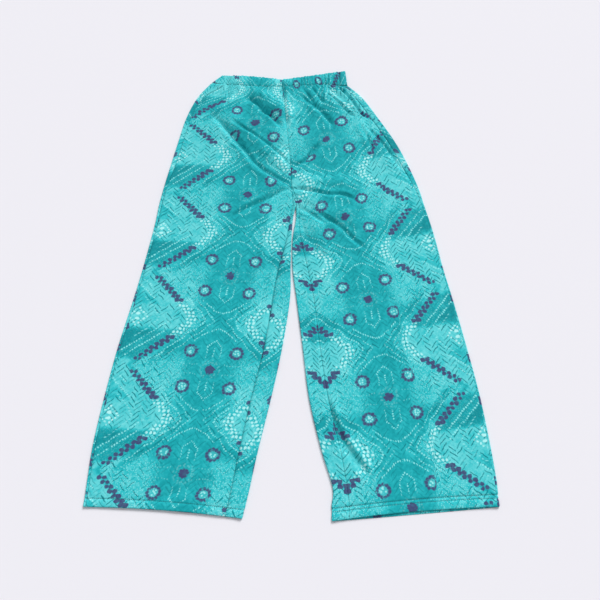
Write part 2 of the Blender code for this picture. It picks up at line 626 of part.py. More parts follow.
def centre_on_origin(pieces):
    """Move the whole garment so that its box stands on the origin."""
    low = np.array([min(vert.co[axis] for piece in pieces for vert in piece.data.vertices)
                    for axis in range(3)])
    high = np.array([max(vert.co[axis] for piece in pieces for vert in piece.data.vertices)
                     for axis in range(3)])
    shift = ((low[0] + high[0]) / 2, (low[1] + high[1]) / 2, low[2])
    for piece in pieces:
        for vert in piece.data.vertices:
            vert.co = [vert.co[axis] - shift[axis] for axis in range(3)]


def build():
    for thing in list(bpy.data.objects):
        bpy.data.objects.remove(thing, do_unlink=True)
    right_leg = Leg(RIGHT_LEG_ROWS, RIGHT_HEM_BOW, RIGHT_WAIST_BOW, 0.0)
    left_leg = Leg(LEFT_LEG_ROWS, LEFT_HEM_BOW, LEFT_WAIST_BOW, LEFT_BACK_HEM_DROP)
    casing = Casing(right_leg, left_leg)
    fronts = [front_panel("front_right_leg", right_leg), front_panel("front_left_leg", left_leg)]
    backs = [back_panel("back_right_leg", right_leg), back_panel("back_left_leg", left_leg)]
    casings = [front_casing("waistband_front", casing), back_casing("waistband_back", casing)]
    collection = bpy.data.collections.new("palazzo_pants")
    bpy.context.scene.collection.children.link(collection)
    for piece in fronts + casings[:1]:
        piece.data.materials.append(cloth_material("printed_cloth_" + piece.name, TEAL))
    for piece in backs + casings[1:]:
        piece.data.materials.append(cloth_material("printed_cloth_" + piece.name, DEEP_TEAL))
    pieces = fronts + backs + casings
    centre_on_origin(pieces)
    for piece in pieces:
        collection.objects.link(piece)
    return pieces


build()
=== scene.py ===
# %% [markdown]
# # Palazzo pants laid flat: the cloth's finish
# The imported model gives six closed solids, one for each panel and each half of the waist casing. Real
# palazzo pants are a light printed viscose crepe, so each solid is replaced here by a thin sheet that
# lies on the same form, with finer folds, turned hems, sewing thread and the cloth's print.
# The garment lies flat in the photo, so every piece is a sheet of cloth at rest on the floor.

# %% Frame, libraries and units
import math

import bmesh
import bpy
import numpy as np
from mathutils import Matrix, Vector, noise


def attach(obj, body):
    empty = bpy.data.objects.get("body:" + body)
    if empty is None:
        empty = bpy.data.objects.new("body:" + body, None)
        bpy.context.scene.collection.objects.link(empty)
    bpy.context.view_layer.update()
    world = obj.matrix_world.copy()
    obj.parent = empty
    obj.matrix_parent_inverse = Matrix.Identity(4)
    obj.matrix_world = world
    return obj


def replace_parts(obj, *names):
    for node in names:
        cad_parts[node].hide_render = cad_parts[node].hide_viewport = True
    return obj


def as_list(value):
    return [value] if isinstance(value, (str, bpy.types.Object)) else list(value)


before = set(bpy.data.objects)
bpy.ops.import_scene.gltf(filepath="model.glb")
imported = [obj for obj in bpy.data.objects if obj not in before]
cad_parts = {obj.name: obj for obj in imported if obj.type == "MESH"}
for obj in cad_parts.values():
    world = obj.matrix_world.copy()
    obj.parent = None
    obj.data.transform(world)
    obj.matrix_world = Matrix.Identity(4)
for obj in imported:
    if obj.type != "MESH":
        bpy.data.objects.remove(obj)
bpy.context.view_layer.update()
MM = 0.001
CM = 0.01

# %% [markdown]
# The camera comes first, because every later choice is judged through it. The print repeats evenly
# along both legs, and its spacing in the photo says how the camera stood: about 27 degrees from
# straight down, 1.25 m above the cloth. A longer lens from further off would give the same frame with
# less spread towards the hems, but the photo shows that spread, so the distance matters here.

# %% Camera at the photo's angle
CAMERA_TILT = math.radians(27)
CAMERA_PLACE = (0.0145, -0.71925, 1.246)
IMAGE_PIXELS = 600
FOCAL_PIXELS = 728
SENSOR_MM = 36
camera_data = bpy.data.cameras.new("photo_camera")
camera_data.sensor_width = SENSOR_MM
camera_data.lens = SENSOR_MM * FOCAL_PIXELS / IMAGE_PIXELS
camera = bpy.data.objects.new("photo_camera", camera_data)
camera.location = CAMERA_PLACE
camera.rotation_euler = (CAMERA_TILT, 0, 0)
bpy.context.scene.collection.objects.link(camera)
bpy.context.scene.camera = camera
print("lens", round(camera_data.lens, 1), "mm")

# %% [markdown]
# The two legs are flattened tubes. A short table gives each leg's folded edges and seams from the hem
# up to the casing, the same sizes as the solids have, and a smooth curve runs through every column.
# Simulated cloth dropped on a table would find its own folds, but not the ones in the photo, so the
# form is worked out from sizes instead and the folds are placed one by one.

# %% Sizes of the two legs
SEAM_GAP = 0.04 * MM
# Seam points on the centre line in cm, from the crotch fold up to the casing
CENTRE_LINE = ((0.65, 12.85), (-0.25, 17.35), (-0.60, 23.55), (-1.05, 28.95), (-1.65, 35.85),
               (-2.15, 41.55), (-2.65, 44.80))
# Each row: the outer and inner edge and how far the seams lie from them in cm, and the top's lift in mm
LEG_NAMES = ("outer_x", "outer_y", "inner_x", "inner_y", "outseam", "inseam", "lift")
RIGHT_LEG = (
    (-34.90, -47.55, -8.20, -49.50, 0.40, 2.90, 2.4),
    (-34.85, -45.95, -7.80, -47.90, 0.40, 2.95, 2.6),
    (-34.82, -45.35, -7.65, -47.25, 0.40, 3.00, 2.9),
    (-34.78, -42.85, -7.05, -44.35, 0.40, 3.10, 2.9),
    (-34.60, -36.75, -5.75, -37.60, 0.40, 3.30, 2.9),
    (-33.65, -27.95, -3.70, -28.30, 0.40, 3.60, 2.9),
    (-32.35, -18.55, -1.88, -18.80, 0.40, 3.40, 2.9),
    (-30.50, -8.55, -0.48, -8.55, 0.40, 3.35, 2.9),
    (-29.40, -2.05, -0.38, -1.75, 0.40, 2.40, 3.0),
    (-28.40, 4.75, -0.25, 4.95, 0.40, 1.00, 3.2),
    (-27.80, 9.45, 0.05, 9.95, 0.45, 0.60, 3.4),
    (-27.50, 13.00, 0.65, 12.85, 0.50, 0.60, 3.6),
    (-26.85, 17.65, -0.25, 17.35, 0.70, 0.12, 3.8),
    (-25.75, 24.00, -0.60, 23.55, 1.00, 0.12, 4.0),
    (-24.75, 29.60, -1.05, 28.95, 1.05, 0.12, 4.2),
    (-23.50, 36.00, -1.65, 35.85, 1.05, 0.12, 4.5),
    (-21.45, 41.75, -2.15, 41.55, 1.50, 0.12, 4.9),
    (-18.45, 46.25, -2.65, 44.80, 3.70, 0.12, 5.4),
)
LEFT_LEG = (
    (34.88, -47.55, 6.75, -49.90, 0.40, 2.90, 2.4),
    (34.90, -45.55, 6.72, -47.90, 0.40, 2.90, 2.6),
    (34.90, -44.95, 6.75, -47.25, 0.40, 2.90, 2.9),
    (34.90, -42.60, 6.95, -44.20, 0.40, 2.40, 2.9),
    (34.55, -36.75, 5.05, -37.50, 0.40, 3.30, 2.9),
    (33.75, -27.95, 3.05, -28.30, 0.40, 3.40, 2.9),
    (32.40, -18.55, 1.95, -18.60, 0.40, 3.20, 2.9),
    (30.75, -8.55, 0.78, -8.55, 0.40, 3.30, 2.9),
    (29.55, -2.05, 0.00, -1.75, 0.40, 2.90, 3.0),
    (28.55, 4.75, -0.02, 4.95, 0.45, 1.60, 3.2),
    (27.70, 9.45, 0.62, 9.95, 0.50, 0.60, 3.4),
    (26.95, 13.00, 0.65, 12.85, 0.60, 0.60, 3.6),
    (26.00, 17.65, -0.25, 17.35, 0.85, 0.12, 3.8),
    (24.15, 23.70, -0.60, 23.55, 1.50, 0.12, 4.0),
    (21.95, 29.40, -1.05, 28.95, 1.60, 0.12, 4.2),
    (18.75, 35.70, -1.65, 35.85, 1.70, 0.12, 4.5),
    (15.35, 41.75, -2.15, 41.55, 1.70, 0.12, 4.9),
    (12.15, 45.35, -2.65, 44.80, 1.70, 0.12, 5.4),
)
CROTCH = 11                     # row of the tables at the crotch fold
MEETING = 12                    # row where the four panels meet
CENTRING_Y = 1.25 * MM          # the solids were centred on the origin by this much
print("stations per leg", len(RIGHT_LEG))

# %% Smooth curves through the tables


def smooth(knots, values, where):
    """A curve through the values, with an even slope at each knot."""
    slopes = np.gradient(values, knots)
    index = np.clip(np.searchsorted(knots, where, side="right") - 1, 0, len(knots) - 2)
    span = knots[index + 1] - knots[index]
    t = (where - knots[index]) / span
    rise = values[index + 1] - values[index]
    start = slopes[index] * span
    end = slopes[index + 1] * span
    bend, twist = 3 * rise - 2 * start - end, start + end - 2 * rise
    return values[index] + start * t + bend * t**2 + twist * t**3


def ease(value):
    """0 below 0, 1 above 1 and an even slope between."""
    t = np.clip(value, 0.0, 1.0)
    return t * t * (3 - 2 * t)


print("half way up a curve 0, 1:", float(ease(np.array(0.5))))

# %% [markdown]
# The folds are the main thing that tells cloth from board. Each one is a dip along a smooth line with
# a raised side on its right and left, and broad lifts say where loose cloth stands off the layer
# below. The broad ones are those of the solids, the narrow creases are only here. A crease also
# swallows the cloth nearest to it, so the print on its two sides moves together. A noise alone would
# give an even crumple all over, while the photo has a calm lower leg and folds round the crotch.

# %% Folds, creases and lifts
# Each row: half width, dip, raised right side, raised left side in mm, and places in cm
FOLDS = (
    (15, 3.5, 2.0, 4.0, ((-17.7, 37.0), (-13.8, 32.1), (-9.8, 27.4), (-4.8, 21.9), (-1.1, 19.2))),
    (13, 2.5, 1.5, 2.5, ((-10.8, 33.3), (-6.4, 29.9), (-2.4, 26.7))),
    (12, 5.0, 2.0, 5.0, ((-10.8, 41.6), (-7.7, 40.2), (-6.4, 37.9), (-4.1, 36.6), (-3.0, 34.0))),
    (15, 2.5, 2.5, 1.5, ((-1.1, 17.1), (-5.8, 13.9), (-10.3, 5.9), (-14.2, 2.4))),
    (13, 2.5, 1.5, 2.5, ((0.4, 17.4), (6.2, 16.5), (9.3, 16.5), (12.6, 15.1))),
    (13, 2.5, 1.5, 2.5, ((1.8, 13.9), (4.9, 10.0), (9.1, 8.9), (11.6, 5.9), (14.3, 3.8))),
    (12, 2.5, 1.0, 2.0, ((2.4, 9.2), (3.2, 5.6), (4.5, 2.1), (6.0, -0.2))),
    (11, 4.5, 4.0, 2.0, ((7.9, 44.0), (11.9, 38.2), (12.9, 36.0))),
    (12, 4.0, 3.0, 2.0, ((10.2, 44.9), (15.2, 37.9), (17.1, 33.0), (20.9, 26.5), (23.2, 22.0))),
    (10, 2.5, 1.5, 1.5, ((4.6, 44.5), (5.9, 41.8), (6.8, 39.5))),
    (11, 3.0, 2.0, 2.0, ((1.6, 41.6), (4.4, 40.5), (5.7, 38.8), (7.2, 36.7), (7.7, 34.0))),
    (13, 2.5, 1.5, 2.5, ((8.2, 32.1), (5.0, 28.0), (2.0, 24.0))),
    (14, 1.0, 1.0, 1.0, ((-14.9, -44.0), (-18.2, -44.7), (-21.6, -45.8))),
    (14, 1.5, 1.0, 1.5, ((7.6, -31.6), (8.9, -36.1), (10.7, -38.9), (12.1, -41.3))),
)
TUCK_LINE = ((16.9, 27.6), (18.2, 19.7), (19.6, 0.3), (20.6, -19.0), (23.7, -28.3), (24.5, -36.1))
CREASES = (
    # From the right hip to the crotch, and down the centre seam
    (6.0, 7.0, 3.0, 1.5, ((-17.6, 36.3), (-15.8, 34.3), (-13.9, 31.8), (-11.8, 28.8), (-10.0, 26.3),
                          (-8.5, 24.0), (-6.7, 22.1), (-4.8, 20.6), (-2.7, 19.1), (-0.8, 18.1))),
    (4.0, 5.0, 1.8, 1.0, ((-13.2, 34.6), (-10.9, 32.6), (-9.1, 31.4), (-7.4, 30.0), (-5.6, 28.5),
                          (-3.9, 26.7), (-2.2, 24.8), (-0.9, 22.7))),
    (5.5, 9.5, 2.5, 1.0, ((-10.2, 40.9), (-9.2, 40.6), (-7.8, 39.4), (-6.5, 37.5), (-4.9, 36.3),
                          (-3.8, 34.7), (-2.7, 32.9))),
    (5.0, 5.5, 0.8, 0.8, ((-2.4, 45.5), (-2.1, 43.2), (-2.1, 40.8), (-2.0, 38.5), (-1.6, 35.7),
                          (-1.1, 32.4))),
    # From the waist into the left hip
    (3.5, 4.0, 1.0, 1.0, ((4.1, 44.2), (5.0, 42.6), (5.9, 41.0), (6.8, 39.7))),
    (6.0, 6.5, 2.0, 1.5, ((1.7, 41.7), (3.4, 40.0), (5.2, 38.3), (6.7, 36.4), (8.0, 34.4), (8.6, 32.6))),
    (3.5, 3.0, 0.8, 0.8, ((2.3, 43.8), (3.2, 42.0), (4.5, 39.8))),
    (3.2, 7.0, 2.0, 2.5, ((7.2, 42.6), (8.8, 41.4), (10.1, 40.0), (11.2, 38.5), (12.0, 37.4),
                          (13.3, 36.0))),
    (3.6, 10.0, 3.0, 3.0, ((9.8, 44.9), (11.3, 43.3), (12.6, 41.6), (13.4, 40.1), (14.2, 38.4),
                           (15.1, 37.0), (16.3, 35.8))),
    (4.0, 5.0, 1.5, 2.0, ((15.8, 33.2), (17.2, 31.9), (18.7, 29.8), (20.0, 27.5), (21.2, 25.3),
                          (22.3, 23.2), (23.9, 20.9), (25.5, 17.6))),
    (5.0, 3.0, 1.0, 1.0, ((14.7, 34.0), (15.5, 31.5), (16.3, 29.2), (17.0, 26.9))),
    (5.0, 6.0, 2.5, 1.5, ((6.2, 29.1), (5.1, 27.6), (3.9, 25.7), (2.5, 24.0), (0.8, 22.7))),
    # From the crotch outwards
    (4.5, 4.5, 1.5, 2.0, ((-0.4, 16.7), (2.1, 16.8), (4.3, 16.4), (6.2, 15.9), (8.0, 15.6), (10.1, 15.6),
                          (11.7, 14.9), (13.1, 13.8))),
    (4.0, 4.0, 2.0, 1.0, ((0.8, 12.6), (2.3, 11.7), (3.9, 10.6), (5.3, 9.5), (6.5, 8.5))),
    (4.5, 5.0, 1.5, 1.5, ((5.1, 10.9), (7.5, 9.4), (9.1, 8.2), (10.5, 6.7), (11.8, 5.1), (13.4, 3.5),
                          (14.5, 2.6))),
    (4.0, 3.0, 0.8, 0.8, ((1.0, 11.4), (1.6, 9.4), (2.1, 7.3), (3.0, 4.9))),
    (5.0, 4.5, 1.5, 1.0, ((-0.8, 16.9), (-2.5, 16.3), (-4.1, 15.2), (-6.3, 13.9), (-8.6, 12.6),
                          (-10.8, 11.1), (-13.1, 9.2))),
    # Down the right side, low on the legs and beside the right inner seam
    (5.0, 2.5, 0.8, 0.8, ((-16.7, 44.5), (-18.5, 43.2), (-19.7, 41.6), (-20.7, 39.6), (-21.6, 37.0),
                          (-22.8, 34.8))),
    (6.0, 6.0, 0.5, 4.0, ((6.1, -28.2), (6.6, -30.4), (7.3, -32.6), (8.3, -35.2), (9.4, -37.3),
                          (10.6, -39.0), (11.9, -40.8), (13.2, -42.5))),
    (4.0, 4.5, 0.5, 3.2, ((-0.8, 7.5), (-1.3, 5.1), (-1.8, 2.8), (-2.1, 0.9), (-2.5, -0.7), (-2.7, -3.1),
                          (-3.0, -5.6), (-3.5, -8.0), (-4.1, -10.5), (-4.6, -13.1))),
    (8.0, 2.0, 0.8, 0.8, ((-14.2, -27.2), (-15.9, -29.3), (-17.7, -31.3), (-20.0, -33.9), (-22.1, -35.9),
                          (-24.5, -38.0), (-26.7, -39.7))),
    (6.0, 2.0, 0.5, 0.5, ((-22.0, -46.3), (-20.4, -45.5), (-18.8, -44.8))),
    (4.0, -0.5, 0.0, 0.0, TUCK_LINE),
)
# Each row: x, y, reach across and along in cm, and height in mm
LIFTS = (
    (-12.0, 36.0, 9.0, 9.0, 4.5), (-13.0, 22.0, 10.0, 11.0, 3.5), (-2.5, 34.0, 9.0, 10.0, 4.0),
    (6.0, 37.0, 8.0, 9.0, 4.5), (8.0, 23.0, 11.0, 11.0, 3.5), (-7.0, 9.0, 9.0, 9.0, 2.5),
    (7.5, 8.0, 9.0, 9.0, 2.5), (-16.0, -20.0, 12.0, 20.0, 1.2), (17.0, -20.0, 12.0, 20.0, 1.2),
    (18.5, -4.0, 4.0, 26.0, 0.8),
)
print("folds", len(FOLDS), "creases", len(CREASES), "lifts", len(LIFTS))

# %% How a fold shapes the cloth
SIDE_SHIFT = 1.6                # a fold's raised sides lie this many half widths away
SIDE_SPREAD = 1.3
CURVE_STEPS = 6
LIFT_SOFTNESS = 0.8 * MM
SWALLOW = 0.8                   # half the width of cloth that a crease swallows, as a share of its dip
SWALLOW_REACH = 2.5 * CM
ON_THE_LINE = 0.1 * MM          # nearer than this, a point counts as on the crease
LOWEST_TOP = 1.8 * MM           # the top layer lies no lower than this on the layer beneath
LOWEST_SEAM = 0.85 * MM         # nor its seams lower than this
TAPER = 0.3                     # share of a fold's length in which it fades
TAPER_START = 0.25


def beside_line(x, y, places, reach):
    """For the points within reach of a smooth line: which they are, the way to them from the line (its
    sideways, x and y parts), and a share that fades the fold out towards the line's ends."""
    spots = np.array(places) * CM
    where = np.linspace(0, len(spots) - 1, (len(spots) - 1) * CURVE_STEPS + 1)
    knots = np.arange(len(spots), dtype=float)
    line_x, line_y = (smooth(knots, spots[:, axis], where) for axis in (0, 1))
    near = (x > line_x.min() - reach) & (x < line_x.max() + reach)
    near &= (y > line_y.min() - reach) & (y < line_y.max() + reach)
    run_x, run_y = np.diff(line_x), np.diff(line_y)
    runs = np.hypot(run_x, run_y)
    starts = np.concatenate(([0.0], np.cumsum(runs)))[:-1]
    px, py = x[near], y[near]
    nearest = np.full(px.shape, np.inf)
    across, along, way_x, way_y = (np.zeros(px.shape) for _ in range(4))
    for i, run in enumerate(runs):
        dx, dy = px - line_x[i], py - line_y[i]
        t = np.clip((dx * run_x[i] + dy * run_y[i]) / run**2, 0, 1)
        to_x, to_y = dx - t * run_x[i], dy - t * run_y[i]
        away = np.hypot(to_x, to_y)
        closer = away < nearest
        nearest = np.where(closer, away, nearest)
        across = np.where(closer, away * np.sign(dx * run_y[i] - dy * run_x[i]), across)
        along = np.where(closer, starts[i] + t * run, along)
        way_x, way_y = np.where(closer, to_x, way_x), np.where(closer, to_y, way_y)
    share = along / runs.sum()
    fade = ease(share / TAPER + TAPER_START) * ease((1 - share) / TAPER + TAPER_START)
    return near, across, way_x, way_y, fade


def fold_height(x, y, half_width, dip, right, left, places):
    """A dip along a smooth line with a raised side on its right and on its left."""
    near, across, _, _, fade = beside_line(x, y, places, 4 * half_width)
    s = across / half_width
    profile = right * np.exp(-((s - SIDE_SHIFT) / SIDE_SPREAD) ** 2)
    profile = profile + left * np.exp(-((s + SIDE_SHIFT) / SIDE_SPREAD) ** 2) - dip * np.exp(-s * s)
    total = np.zeros(x.shape)
    total[near] = profile * fade
    return total


def swallowed(x, y):
    """Points moved away from the creases, because a crease swallows the cloth nearest to it."""
    x, y = x.copy(), y.copy()
    for _, dip, _, _, places in CREASES:
        near, across, way_x, way_y, fade = beside_line(x, y, places, 3 * SWALLOW_REACH)
        push = np.maximum(dip, 0) * MM * SWALLOW * np.exp(-np.abs(across) / SWALLOW_REACH) * fade
        push = push / np.maximum(np.abs(across), ON_THE_LINE)
        x[near] += way_x * push
        y[near] += way_y * push
    return x, y


def loose_cloth(x, y):
    """How far the top layer stands off where it lies loosely, with its folds and creases."""
    total = np.zeros(x.shape)
    for lift_x, lift_y, across, along, height in LIFTS:
        away = ((x / CM - lift_x) / across) ** 2 + ((y / CM - lift_y) / along) ** 2
        total += height * MM * np.exp(-away)
    for half_width, dip, right, left, places in FOLDS:
        total += fold_height(x, y, half_width * MM, dip * MM, right * MM, left * MM, places)
    total = (total + np.sqrt(total**2 + LIFT_SOFTNESS**2)) / 2
    for half_width, dip, right, left, places in CREASES:
        total += fold_height(x, y, half_width * MM, dip * MM, right * MM, left * MM, places)
    return total


hip = loose_cloth(np.array((-12 * CM,)), np.array((30 * CM,)))
print("cloth stands off at the hip by", round(float(hip[0]) / MM, 1), "mm")

# %% [markdown]
# A leg's section starts at the middle of its outer folded edge, runs over the top to the inner edge
# and back underneath. One class answers where a point of the cloth lies for a station up the leg and
# a distance across the section. The same answer serves the front panel, the back panel, the print and
# the stitches, so they all stay on each other. The gathers and a slight ripple come first, because the
# class adds them to the folds.

# %% Gathers and ripples
GATHERS = 36                    # across the casing's front
# How the casing's gathers wander: size, rate and start along the waist, then the same for their height
GATHER_DRIFT = ((0.012, 23, 0), (0.006, 61, 2))
GATHER_CHANGE = (0.28, 37, 1)
CREST_ROUNDNESS = 0.7           # less than 1 makes the crests broad and the valleys narrow
RIPPLE_SIZE = 6 * CM
RIPPLE_SLICE = 0.3              # where the noise is cut, which chooses its pattern


def ripple(x, y):
    """Gentle unevenness of cloth that was smoothed by hand, longer up the leg than across."""
    places = zip(x / RIPPLE_SIZE, y / RIPPLE_SIZE / 2)
    return np.array([noise.noise(Vector((across, along, RIPPLE_SLICE))) for across, along in places])


def gather_wave(s):
    """0 to 1, one crest for each gather of the casing: s runs 0 to 2 along the waist."""
    place = s + sum(size * np.sin(rate * s + start) for size, rate, start in GATHER_DRIFT)
    crest = np.abs(np.sin(math.pi * GATHERS / 2 * place)) ** CREST_ROUNDNESS
    change, rate, start = GATHER_CHANGE
    return crest * (1 - change + change * np.sin(rate * s + start))


print("gathers across the waist", GATHERS)

# %% The cloth's form on one leg
EDGE_ROLL = 1.2 * MM            # the folded edges stand up by this much
EDGE_ROLL_REACH = 12 * MM
EDGE_CALM_REACH = 25 * MM
EDGE_PROBE = 2 * MM
CALM_BELOW_CROTCH = 4 * CM
HEM_BOW_REACH = 12 * CM
WAIST_BOW_REACH = 8 * CM
PANEL_GATHER_PITCH = 23 * MM
PANEL_GATHER_HEIGHT = 2.2 * MM
PANEL_GATHER_REACH = 5.5 * CM
PANEL_GATHER_DRIFT = (1.3, 0.9 / CM)    # how far their spacing wanders, in radians, and how fast
PUCKER_HEIGHT = 3.0 * MM
PUCKER_REACH = 1.4 * CM
RIPPLE = 0.35 * MM
FINE_STEPS = 800                # for measuring along a leg's outer edge


class Leg:
    """Where the cloth of one leg lies, for a station v up the leg and a level distance a across it."""

    def __init__(self, rows, hem_bow, waist_bow, back_hem_drop):
        table = np.array(rows, dtype=float)
        table[:, :6] *= CM
        table[:, 6] *= MM
        self.table = dict(zip(LEG_NAMES, table.T))
        self.side = math.copysign(1.0, rows[0][0])
        self.knots = np.arange(len(rows), dtype=float)
        self.centre = np.array(CENTRE_LINE) * CM
        self.hem_bow, self.waist_bow, self.back_hem_drop = hem_bow, waist_bow, back_hem_drop
        self.fine = np.linspace(0, self.knots[-1], FINE_STEPS)
        x, y = self.at("outer_x", self.fine), self.at("outer_y", self.fine)
        self.run = np.concatenate(([0.0], np.cumsum(np.hypot(np.diff(x), np.diff(y)))))

    def at(self, name, v):
        return smooth(self.knots, self.table[name], v)

    def station(self, distance):
        """The station that lies this far up the outer edge from the hem."""
        return np.interp(distance, self.run, self.fine)

    def inner(self, v):
        below, above = self.knots[:CROTCH + 1], self.knots[CROTCH:]
        low, high = np.minimum(v, CROTCH), np.maximum(v, CROTCH)
        edges = (self.table[name][:CROTCH + 1] for name in ("inner_x", "inner_y"))
        edge_x, edge_y = (smooth(below, edge, low) for edge in edges)
        seam_x, seam_y = (smooth(above, self.centre[:, axis], high) for axis in (0, 1))
        on_edge = v < CROTCH
        return np.where(on_edge, edge_x, seam_x + self.side * SEAM_GAP / 2), np.where(on_edge, edge_y, seam_y)

    def width(self, v):
        inner_x, inner_y = self.inner(v)
        return np.hypot(inner_x - self.at("outer_x", v), inner_y - self.at("outer_y", v))

    def plan(self, v, a, top=True):
        """Where the section's point at level distance a from its outer edge lies."""
        outer_x, outer_y = self.at("outer_x", v), self.at("outer_y", v)
        inner_x, inner_y = self.inner(v)
        t = a / np.hypot(inner_x - outer_x, inner_y - outer_y)
        near_hem = 1 - ease((outer_y - self.table["outer_y"][0]) / HEM_BOW_REACH)
        near_waist = 1 - ease((self.table["outer_y"][-1] - outer_y) / WAIST_BOW_REACH)
        bow = (self.hem_bow - np.where(top, 0.0, self.back_hem_drop)) * near_hem + self.waist_bow * near_waist
        x = outer_x + (inner_x - outer_x) * t
        y = outer_y + (inner_y - outer_y) * t + bow * 4 * np.maximum(t * (1 - t), 0)
        return x, y

    def height(self, v, a):
        """Height of the top layer at level distance a from the outer edge."""
        x, y = self.plan(v, a)
        width = self.width(v)
        inside = width - a
        calm = 1 - ease((y - self.centre[0, 1] + CALM_BELOW_CROTCH) / (2 * CALM_BELOW_CROTCH))
        rest = 1 - np.exp(-(a / EDGE_CALM_REACH) ** 2)
        rest = rest * (1 - calm * np.exp(-(inside / EDGE_CALM_REACH) ** 2))
        roll = np.exp(-(a / EDGE_ROLL_REACH) ** 2) + calm * np.exp(-(inside / EDGE_ROLL_REACH) ** 2)
        from_waist = self.table["outer_y"][-1] - self.at("outer_y", v)
        drift, rate = PANEL_GATHER_DRIFT
        gather = np.cos(2 * math.pi * x / PANEL_GATHER_PITCH + drift * np.sin(rate * x))
        gather = PANEL_GATHER_HEIGHT * 0.5 * (1 + gather) * np.exp(-from_waist / PANEL_GATHER_REACH)
        s = a / width if self.side < 0 else 2 - a / width
        gather = gather + PUCKER_HEIGHT * gather_wave(s) * np.exp(-from_waist / PUCKER_REACH)
        stand = loose_cloth(x, y) + gather + RIPPLE * (1 + ripple(x, y))
        spare = self.at("lift", v) + EDGE_ROLL * roll + rest * stand - LOWEST_TOP
        return LOWEST_TOP + (spare + np.sqrt(spare**2 + LIFT_SOFTNESS**2)) / 2

    def radii(self, v):
        """Half the height of the outer and the inner folded edge."""
        outer = self.height(v, np.full_like(v, EDGE_PROBE)) / 2
        inner = self.height(v, self.width(v) - EDGE_PROBE) / 2
        return outer, inner


right_leg = Leg(RIGHT_LEG, hem_bow=0.42 * CM, waist_bow=-0.60 * CM, back_hem_drop=0.0)
left_leg = Leg(LEFT_LEG, hem_bow=0.40 * CM, waist_bow=0.05 * CM, back_hem_drop=0.45 * CM)
for each in (right_leg, left_leg):
    hem_width = float(each.width(each.knots[:1])[0])
    print("leg edge", round(each.run[-1] / CM, 1), "cm long, hem", round(hem_width / CM, 1), "cm")

# %% [markdown]
# The print is worked out in the flat cloth's own sizes, so every panel carries a UV map in metres of
# cloth: u is the distance from the flower column, v the distance along it. The photo gives where the
# flowers lie on each leg and how their rows tilt, and the map runs smoothly through them. Projecting
# the pattern from above would be shorter, but it would smear round the folded edges and would not be
# squeezed by the gathers.

# %% The print's map on each leg
REPEAT = 19.8 * CM              # from one flower to the next down the cloth
# Each row: x and y in cm, and tilt of the flower's row
RIGHT_FLOWERS = (
    (-7.50, 52.80, -0.10), (-8.19, 33.85, -0.08), (-9.33, 15.40, -0.05), (-12.12, -3.57, -0.076),
    (-15.02, -23.05, -0.07), (-18.46, -42.00, -0.045), (-21.90, -61.0, -0.045),
)
LEFT_FLOWERS = (
    (2.30, 49.50, 0.20), (7.14, 29.65, 0.33), (10.69, 10.10, 0.245), (14.49, -8.64, 0.20),
    (17.45, -28.27, 0.15), (20.22, -47.78, 0.16), (23.00, -67.30, 0.16),
)
SQUEEZE_FROM = 38 * CM          # the gathers pull the print together above here
SQUEEZE_REACH = 8 * CM
SQUEEZE = 0.7
BACK_PRINT_SHIFT = 2 * CM       # the right leg's back panel was cut this much off the front's rows
TUCK_DEPTH = 0.8 * CM           # cloth that the left leg's long crease swallows
TUCK_WIDTH = 0.5 * CM
ROW_PASSES = 4                  # enough to find the flower's row that runs through a point


def print_map(leg, x, y):
    """Distance from the flower column and distance along it, in metres of flat cloth."""
    flowers = np.array(RIGHT_FLOWERS if leg.side < 0 else LEFT_FLOWERS)[::-1]
    level = flowers[:, 1] * CM
    x, y = swallowed(x, y)
    row_y = y.copy()
    for _ in range(ROW_PASSES):
        column_x = smooth(level, flowers[:, 0] * CM, row_y)
        tilt = smooth(level, flowers[:, 2], row_y)
        row_y = np.clip(y - tilt * (x - column_x), level[0], level[-1])
    index = smooth(level, np.arange(len(flowers), dtype=float), row_y)
    squeeze = 1 + SQUEEZE * ease((y - SQUEEZE_FROM) / SQUEEZE_REACH)
    u = (x - column_x) * np.sqrt(1 + tilt**2) * squeeze
    if leg.side > 0:
        tuck_x, tuck_y = np.array(TUCK_LINE[::-1]).T * CM
        u = u + TUCK_DEPTH * ease((x - np.interp(y, tuck_y, tuck_x)) / TUCK_WIDTH + 0.5)
    return u, index * REPEAT * -leg.side


ring_u, _ = print_map(left_leg, np.array((17.9 * CM,)), np.array((-4.1 * CM,)))
print("a ring of the left leg lies", round(float(ring_u[0]) / CM, 1), "cm from the flower column")

# %% [markdown]
# Every panel starts as a flat grid from bmesh, whose points are then moved to the cloth's form. The
# Solidify modifier gives it the cloth's thickness on the inner side, so the grid itself stays the skin
# that one sees. A slit in the grid lets the back panel part above the crotch, where its narrow top
# strip leaves the layer underneath.

# %% Panels from grids
CLOTH_THICKNESS = 0.4 * MM
ROWS_BELOW, ROWS_ABOVE = 115, 205     # rows of the lower leg, and of the part with folds
FOLDS_FROM = 13 * CM            # below the crotch
HEM_TURN = 16 * MM              # how far the hem is turned up inside
HEM_INSIDE = (-15.0, -9.0, -4.0, -1.8, -0.9, -0.45)     # mm up the inside of the hem
HEM_OUTSIDE = (0.45, 0.9, 1.8)
FIRST_ROW = 2.6 * MM
HEM_ROWS_TO = 24 * MM           # up to here the rows lie close, for the stitched grooves
HEM_ROW_STEP = 0.7 * MM
LEG_TOP_GAP = 0.1 * MM
scene_collection = bpy.context.scene.collection


